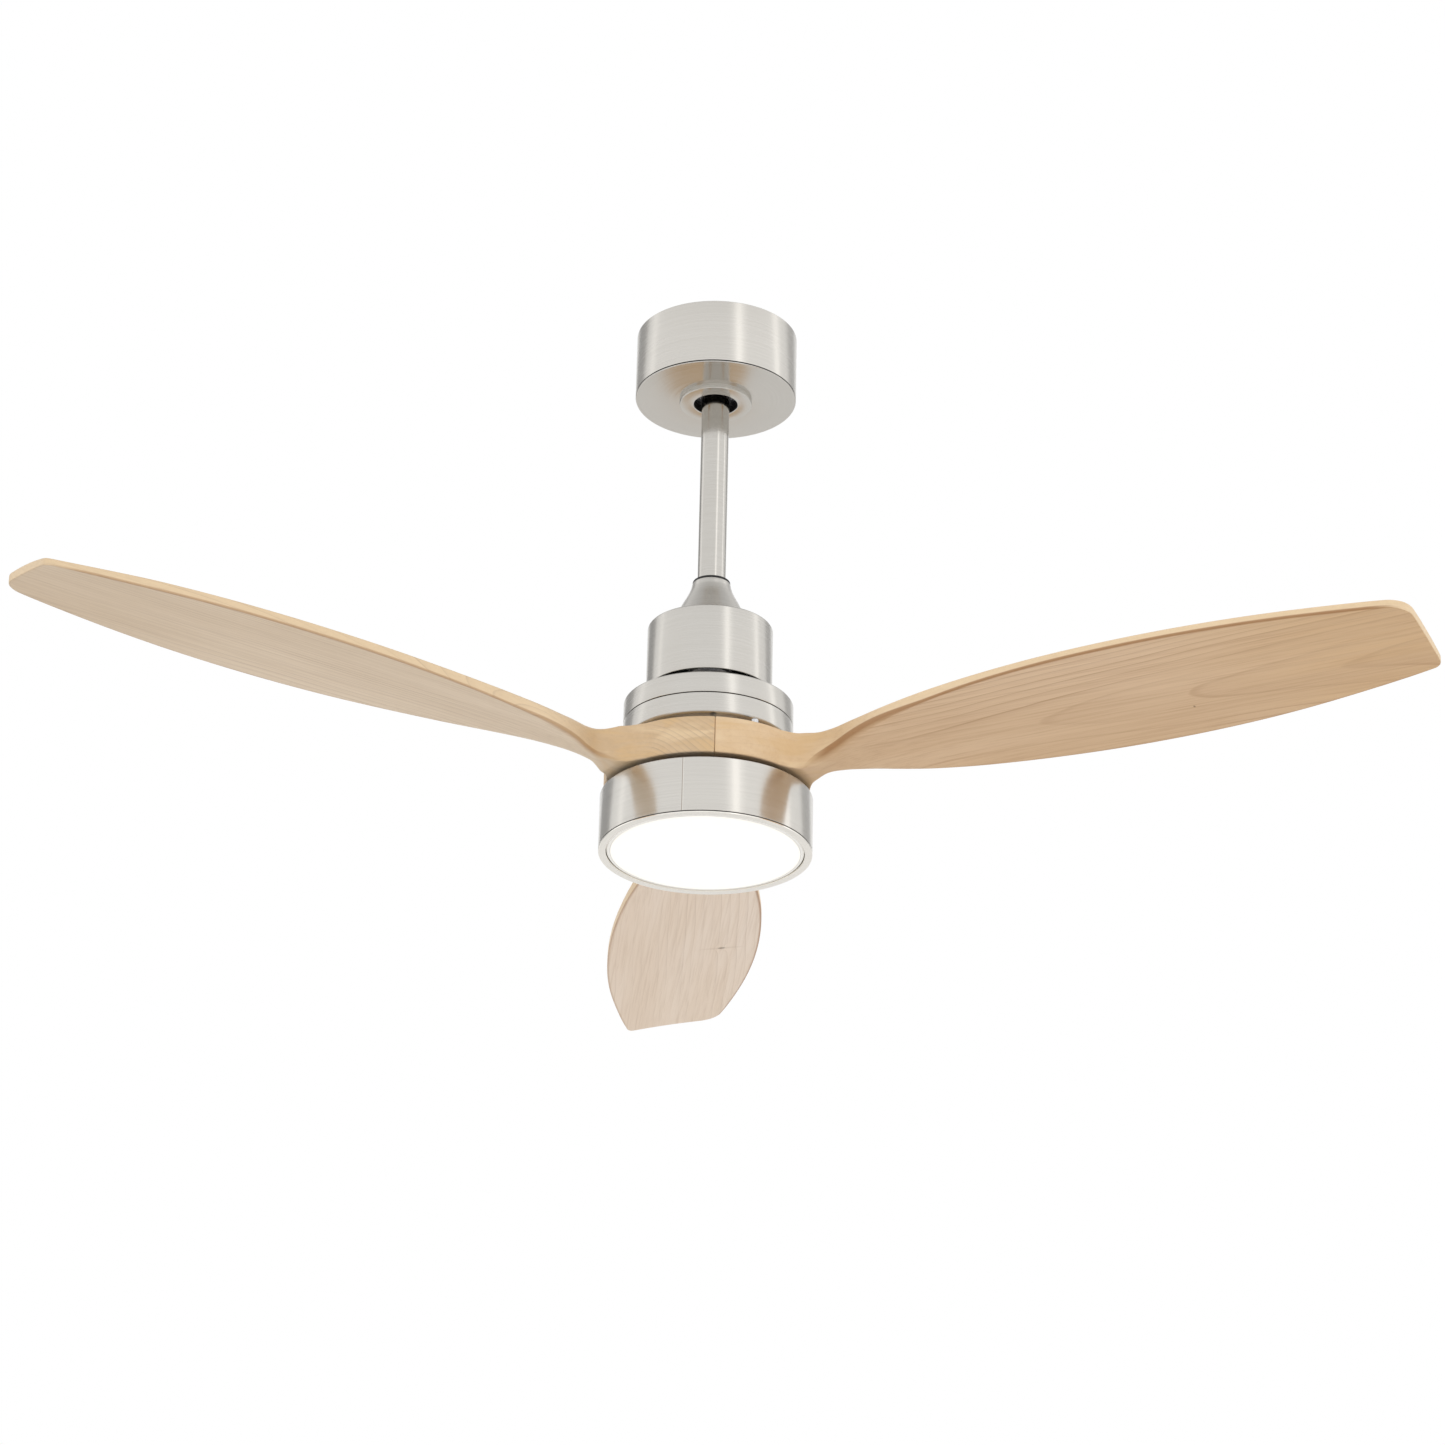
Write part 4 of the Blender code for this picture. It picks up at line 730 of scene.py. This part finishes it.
def blade_grid():
    """Top and bottom points of the plank, row by row, with every edge rounded, and the painted shade along
    the underside's long edges.
    """
    rows = blade_rows()
    trailing, leading = np.array([row[0] for row in rows]), np.array([row[1] for row in rows])
    steep = [np.hypot(1, np.gradient(edge[:, 1], edge[:, 0])) for edge in (trailing, leading)]
    end_chord = trailing[-1], leading[-1]
    mismatch = [end_chord[0] - tip_end(0.0), end_chord[1] - tip_end(1.0)]
    top, bottom, edge_shade = [], [], []
    for i, (trail, lead, bend) in enumerate(rows):
        trail, lead = np.array(trail), np.array(lead)
        width = np.linalg.norm(lead - trail)
        radii = [[edge_round(end[0], leads, under) for under in (False, True)]
                 for end, leads in ((trail, False), (lead, True))]
        inset = [[share * max(pair) * slope[i] / width for share in ROUND_SHARES + (BEYOND_ROUND,)]
                 for pair, slope in zip(radii, steep)]
        middle = list(np.linspace(inset[0][-1], 1 - inset[1][-1], ACROSS + 1)[1:-1])
        across = inset[0] + middle + [1 - value for value in reversed(inset[1])]
        from_tip = (1 - bend) * (BLADE_TIP_R - TIP_ROWS_FROM)
        for v in across:
            point = trail + (lead - trail) * v
            if bend > 0:
                shape = tip_end(v) + mismatch[0] * (1 - v) + mismatch[1] * v
                point = point + bend ** 2 * (shape - end_chord[0] - (end_chord[1] - end_chord[0]) * v)
            if i < len(INNER_BLEND):
                bore = math.sqrt(max(HUB_BORE_R ** 2 - point[1] ** 2, 0.0))
                point[0] += (bore - HUB_BORE_R / 2) * INNER_BLEND[i]
            high, low = face_heights(*point)
            distances = v * width / steep[0][i], (1 - v) * width / steep[1][i]
            falls = [max(rounding(distances[0], radii[0][under]), rounding(distances[1], radii[1][under]),
                         rounding(from_tip, EDGE_ROUND)) for under in (0, 1)]
            top.append((point[0], -point[1], high - falls[0]))
            bottom.append((point[0], -point[1], low + falls[1]))
            edge_shade.append(max(TRAILING_SHADE * shade_depth(distances[0], radii[0][1], trail[0]),
                             shade_depth(distances[1], radii[1][1], lead[0])))
    return np.array(top) * MM, np.array(bottom) * MM, edge_shade, len(rows)


def blade_mesh():
    """Two skins from the grid and a wall round the edge of the plank."""
    top, bottom, edge_shade, row_count = blade_grid()
    count = len(top) // row_count
    last_row = (row_count - 1) * count
    border = [i * count for i in range(row_count)]
    border += list(range(last_row + 1, last_row + count))
    border += [i * count + count - 1 for i in range(row_count - 2, -1, -1)]
    border += list(range(count - 2, 0, -1))
    depth = top[border] - bottom[border]
    wall = [bottom[border] + depth * share for share in (0.7, 0.4)]
    wall.append(bottom[border] + np.minimum(0.25 * depth, SHADE_RISE * MM))
    points = np.vstack([top, bottom] + wall)
    faces = []
    for i in range(row_count - 1):
        for j in range(count - 1):
            a = i * count + j
            faces.append((a, a + 1, a + count + 1, a + count))
            faces.append(tuple(len(top) + k for k in (a, a + count, a + count + 1, a + 1)))
    first_wall, length = 2 * len(top), len(border)
    loops = [border]
    loops += [[first_wall + level * length + k for k in range(length)] for level in range(len(wall))]
    loops.append([len(top) + k for k in border])
    for upper, lower in zip(loops, loops[1:]):
        for k in range(length):
            after = (k + 1) % length
            faces.append((upper[k], upper[after], lower[after], lower[k]))
    mesh = bpy.data.meshes.new("blade")
    mesh.from_pydata([tuple(p) for p in points], [], faces)
    depths = mesh.attributes.new(EDGE_SHADE, 'FLOAT', 'POINT')
    depths.data.foreach_set("value", [0.0] * len(top) + edge_shade + [0.0] * (len(points) - 2 * len(top)))
    work = bmesh.new()
    work.from_mesh(mesh)
    bmesh.ops.recalc_face_normals(work, faces=work.faces)
    work.to_mesh(mesh)
    work.free()
    return mesh


def blades():
    pattern = blade_mesh()
    for number in range(BLADE_COUNT):
        node = f"blade_{number + 1}"
        mesh = pattern.copy()
        mesh.transform(Matrix.Rotation(math.radians(FIRST_BLADE_DEG + BLADE_STEP_DEG * number), 4, 'Z'))
        new_piece(node + "_finish", mesh, WOODS[number], node, 50.0)


# ---- Screws -------------------------------------------------------------------------------------
RECESS_DEPTH = 1.1          # of the cross in the head
# Name, how many, head radius and height, shank radius, and which way the head faces.
PAN_SCREWS = [("rim_screw_", 3, 3.4, 7.0, 1.5, 1), ("blade_screw_", 6, 5.5, 2.8, 2.5, -1),
              ("drum_screw_", 3, 3.5, 1.6, 1.75, 1)]


def pan_screw_mesh(name, head_r, head_h, shank_r, length):
    """A pan-head screw pointing down from its seat at the origin, with a cross recess."""
    dome = min(0.75 * head_h, 0.5 * head_r)
    mesh = turned_mesh(name, [(0, head_h), (head_r, head_h, dome), (head_r, 0, 0.1), (shank_r, 0),
                              (shank_r, -length, 0.3), (0, -length)], SMALL_STEPS, closed=False)
    screw = bpy.data.objects.new(name, mesh)
    bpy.context.scene.collection.objects.link(screw)
    tools = []
    slot, wing = 0.24 * head_r, 1.15 * head_r
    for size_x, size_y in ((wing, slot), (slot, wing)):
        bpy.ops.mesh.primitive_cube_add(size=1.0, location=(0, 0, head_h * MM))
        tool = bpy.context.object
        tool.scale = (size_x * MM, size_y * MM, 2 * RECESS_DEPTH * MM)
        step = screw.modifiers.new("recess", 'BOOLEAN')
        step.object = tool
        step.solver = 'EXACT'
        tools.append(tool)
    bpy.context.view_layer.update()
    made = bpy.data.meshes.new_from_object(screw.evaluated_get(bpy.context.evaluated_depsgraph_get()))
    for used in tools + [screw]:
        bpy.data.objects.remove(used)
    return made


def pan_screws():
    """Screws that stand upright; a node's box says where each one is and how long."""
    for stem, count, head_r, head_h, shank_r, up in PAN_SCREWS:
        nodes = [f"{stem}{number + 1}" for number in range(count)]
        low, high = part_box(nodes[0])
        length = (high.z - low.z) / MM - head_h
        mesh = pan_screw_mesh(stem, head_r, head_h, shank_r, length)
        for node in nodes:
            low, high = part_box(node)
            seat = high.z - head_h * MM if up > 0 else low.z + head_h * MM
            middle = (low + high) / 2
            piece = new_piece(node + "_finish", mesh.copy(), SCREW_STEEL, node)
            turn = Matrix.Identity(4) if up > 0 else Matrix.Rotation(math.pi, 4, 'X')
            piece.matrix_world = Matrix.Translation((middle.x, middle.y, seat)) @ turn


# ---- Light --------------------------------------------------------------------------------------
def light():
    radius, top, bottom = extent("light_drum")
    shaft_hole, inner = 12.4, radius - SHEET
    drum = turned("light_drum", [
        (shaft_hole, top), (radius, top, 1.0), (radius, bottom, 0.3), (inner, bottom),
        (inner, top - SHEET, 0.3), (shaft_hole, top - SHEET)], SEAMED_NICKEL)
    # painted shade: the drum's top face too, in the gap under the hub
    paint_shade_inside(drum, radius - 0.5, bottom, top + 1)
    ring_top = bottom - 2.5 * GAP
    radius, top, bottom = extent("bezel_ring")
    opening, sleeve = 87.1, inner - GAP
    sleeve_inner = sleeve - SHEET
    turned("bezel_ring", [
        (sleeve_inner, top, 0.2), (sleeve, top, 0.2), (sleeve, ring_top), (radius, ring_top, 0.4),
        (radius, bottom, 0.6), (opening, bottom, 0.5), (opening, ring_top), (sleeve_inner, ring_top)],
        NICKEL_PAINTED_BRIGHT)
    radius, top, bottom = extent("diffuser")
    panel_t = 2.0
    inner, panel_top = radius - panel_t, bottom + panel_t
    turned("diffuser", [(0, panel_top), (inner, panel_top, 0.8), (inner, top, 0.3), (radius, top, 0.3),
                        (radius, bottom, 1.8), (0, bottom)], OPAL, closed=False)


# ---- Stage --------------------------------------------------------------------------------------
FLOOR_Z, FLOOR_SIZE = -2.4, 60.0
AIM_AT = (0, 0, -0.35)      # the middle of the fan
# Azimuth from the camera's side (positive to the right), elevation, distance, width, height, and then a soft
# box's brightness added to the world's 1, or a card's grey.
SOFT_BOXES = {
    "key_strip": (31, 24, 3.1, 0.40, 3.2, 0.42), "key_halo": (31, 24, 3.2, 1.0, 3.2, 0.14),
    "right_wash": (62, 22, 3.4, 3.0, 3.2, 0.06), "right_strip": (94, 20, 3.0, 0.45, 3.2, 0.50),
    "left_strip": (-102, 20, 3.0, 0.4, 3.2, 0.25)}
GREY_CARDS = {
    "right_flag": (136, 15, 3.0, 1.3, 3.6, 0.55), "left_flag": (-138, 15, 3.0, 1.6, 3.6, 0.42)}
LENS_MM, SENSOR_MM = 104.61, 36.0
CAMERA_PLACE = (0.0002, -3.3916, -1.9249)
CAMERA_PITCH_DEG, CAMERA_YAW_DEG, CAMERA_ROLL_DEG = 24.3805, 0.2099, 1.2483


def floor():
    bpy.ops.mesh.primitive_plane_add(size=FLOOR_SIZE, location=(0, 0, FLOOR_Z))
    made = bpy.context.object
    made.name = "floor"
    look = Look("floor_paint")
    tone = look.remap(look.noise(look.place(), 0.4, 2.0), 0.3, 0.7)
    look.set(base_color=look.mix(tone, (0.925, 0.92, 0.91), (0.945, 0.94, 0.93)), roughness=0.9)
    made.data.materials.append(look.material)


def aim(piece, azimuth_deg, elevation_deg, distance):
    """Put a piece at a direction and distance from the fan, facing it and out of the camera's sight."""
    azimuth, elevation = math.radians(azimuth_deg), math.radians(elevation_deg)
    level = math.cos(elevation)
    away = Vector((math.sin(azimuth) * level, -math.cos(azimuth) * level, math.sin(elevation)))
    place = Vector(AIM_AT) + distance * away
    piece.location = place
    piece.rotation_euler = (Vector(AIM_AT) - place).to_track_quat('-Z', 'Y').to_euler()
    piece.visible_camera = False


def soft_box(name, azimuth_deg, elevation_deg, distance, width, height, brightness):
    data = bpy.data.lights.new(name, 'AREA')
    data.shape = 'RECTANGLE'
    data.size, data.size_y = width, height
    data.energy = brightness * math.pi * width * height
    data.color = (1.0, 0.99, 0.97)
    made = bpy.data.objects.new(name, data)
    bpy.context.scene.collection.objects.link(made)
    aim(made, azimuth_deg, elevation_deg, distance)


def grey_card(name, azimuth_deg, elevation_deg, distance, width, height, grey):
    """A card that shades the metal's reflections."""
    bpy.ops.mesh.primitive_plane_add(size=1.0)
    made = bpy.context.object
    made.name = name
    made.scale = (width, height, 1)
    aim(made, azimuth_deg, elevation_deg, distance)
    look = Look(name)
    look.set(base_color=(0.0, 0.0, 0.0, 1.0), roughness=1.0, emission_strength=1.0, specular_ior_level=0.0,
             emission_color=(grey, grey, grey, 1.0))
    made.data.materials.append(look.material)


def studio():
    """An even pale surround, a little darker overhead, with a floor, soft boxes and cards."""
    scene = bpy.context.scene
    scene.view_settings.view_transform = 'Standard'
    world = bpy.data.worlds.new("studio")
    world.use_nodes = True
    tree = world.node_tree
    direction = tree.nodes.new("ShaderNodeTexCoord")
    height = tree.nodes.new("ShaderNodeSeparateXYZ")
    shade = tree.nodes.new("ShaderNodeMapRange")
    for socket, value in (("From Min", 0.62), ("From Max", 0.95), ("To Min", 1.0), ("To Max", 0.55)):
        shade.inputs[socket].default_value = value
    tree.links.new(direction.outputs["Generated"], height.inputs["Vector"])
    tree.links.new(height.outputs["Z"], shade.inputs["Value"])
    tree.links.new(shade.outputs["Result"], tree.nodes["Background"].inputs["Strength"])
    tree.nodes["Background"].inputs["Color"].default_value = (1.0, 1.0, 1.0, 1.0)
    scene.world = world
    floor()
    for name, settings in SOFT_BOXES.items():
        soft_box(name, *settings)
    for name, settings in GREY_CARDS.items():
        grey_card(name, *settings)


def camera():
    """A long lens below the fan, looking up, with a slight lean."""
    data = bpy.data.cameras.new("camera")
    data.sensor_width = SENSOR_MM
    data.lens = LENS_MM
    data.clip_end = 100.0
    made = bpy.data.objects.new("camera", data)
    bpy.context.scene.collection.objects.link(made)
    pitch, yaw, roll = (math.radians(turn) for turn in (CAMERA_PITCH_DEG, CAMERA_YAW_DEG, CAMERA_ROLL_DEG))
    ahead = Vector((math.sin(yaw) * math.cos(pitch), math.cos(yaw) * math.cos(pitch), math.sin(pitch)))
    level = Vector((math.cos(yaw), -math.sin(yaw), 0.0))
    upright = level.cross(ahead)
    right = math.cos(roll) * level + math.sin(roll) * upright
    up = -math.sin(roll) * level + math.cos(roll) * upright
    turn = Matrix((right, up, -ahead)).transposed().to_4x4()
    made.matrix_world = Matrix.Translation(CAMERA_PLACE) @ turn
    bpy.context.scene.camera = made


camera()
studio()
for node, piece in frame["nodes"].items():
    for slot in piece.material_slots:
        slot.material = SLOT_LOOKS[SLOT_OF[node]]
canopy_and_collar()
rod_and_covers()
motor_housing()
blades()
pan_screws()
light()

bpy.context.view_layer.update()
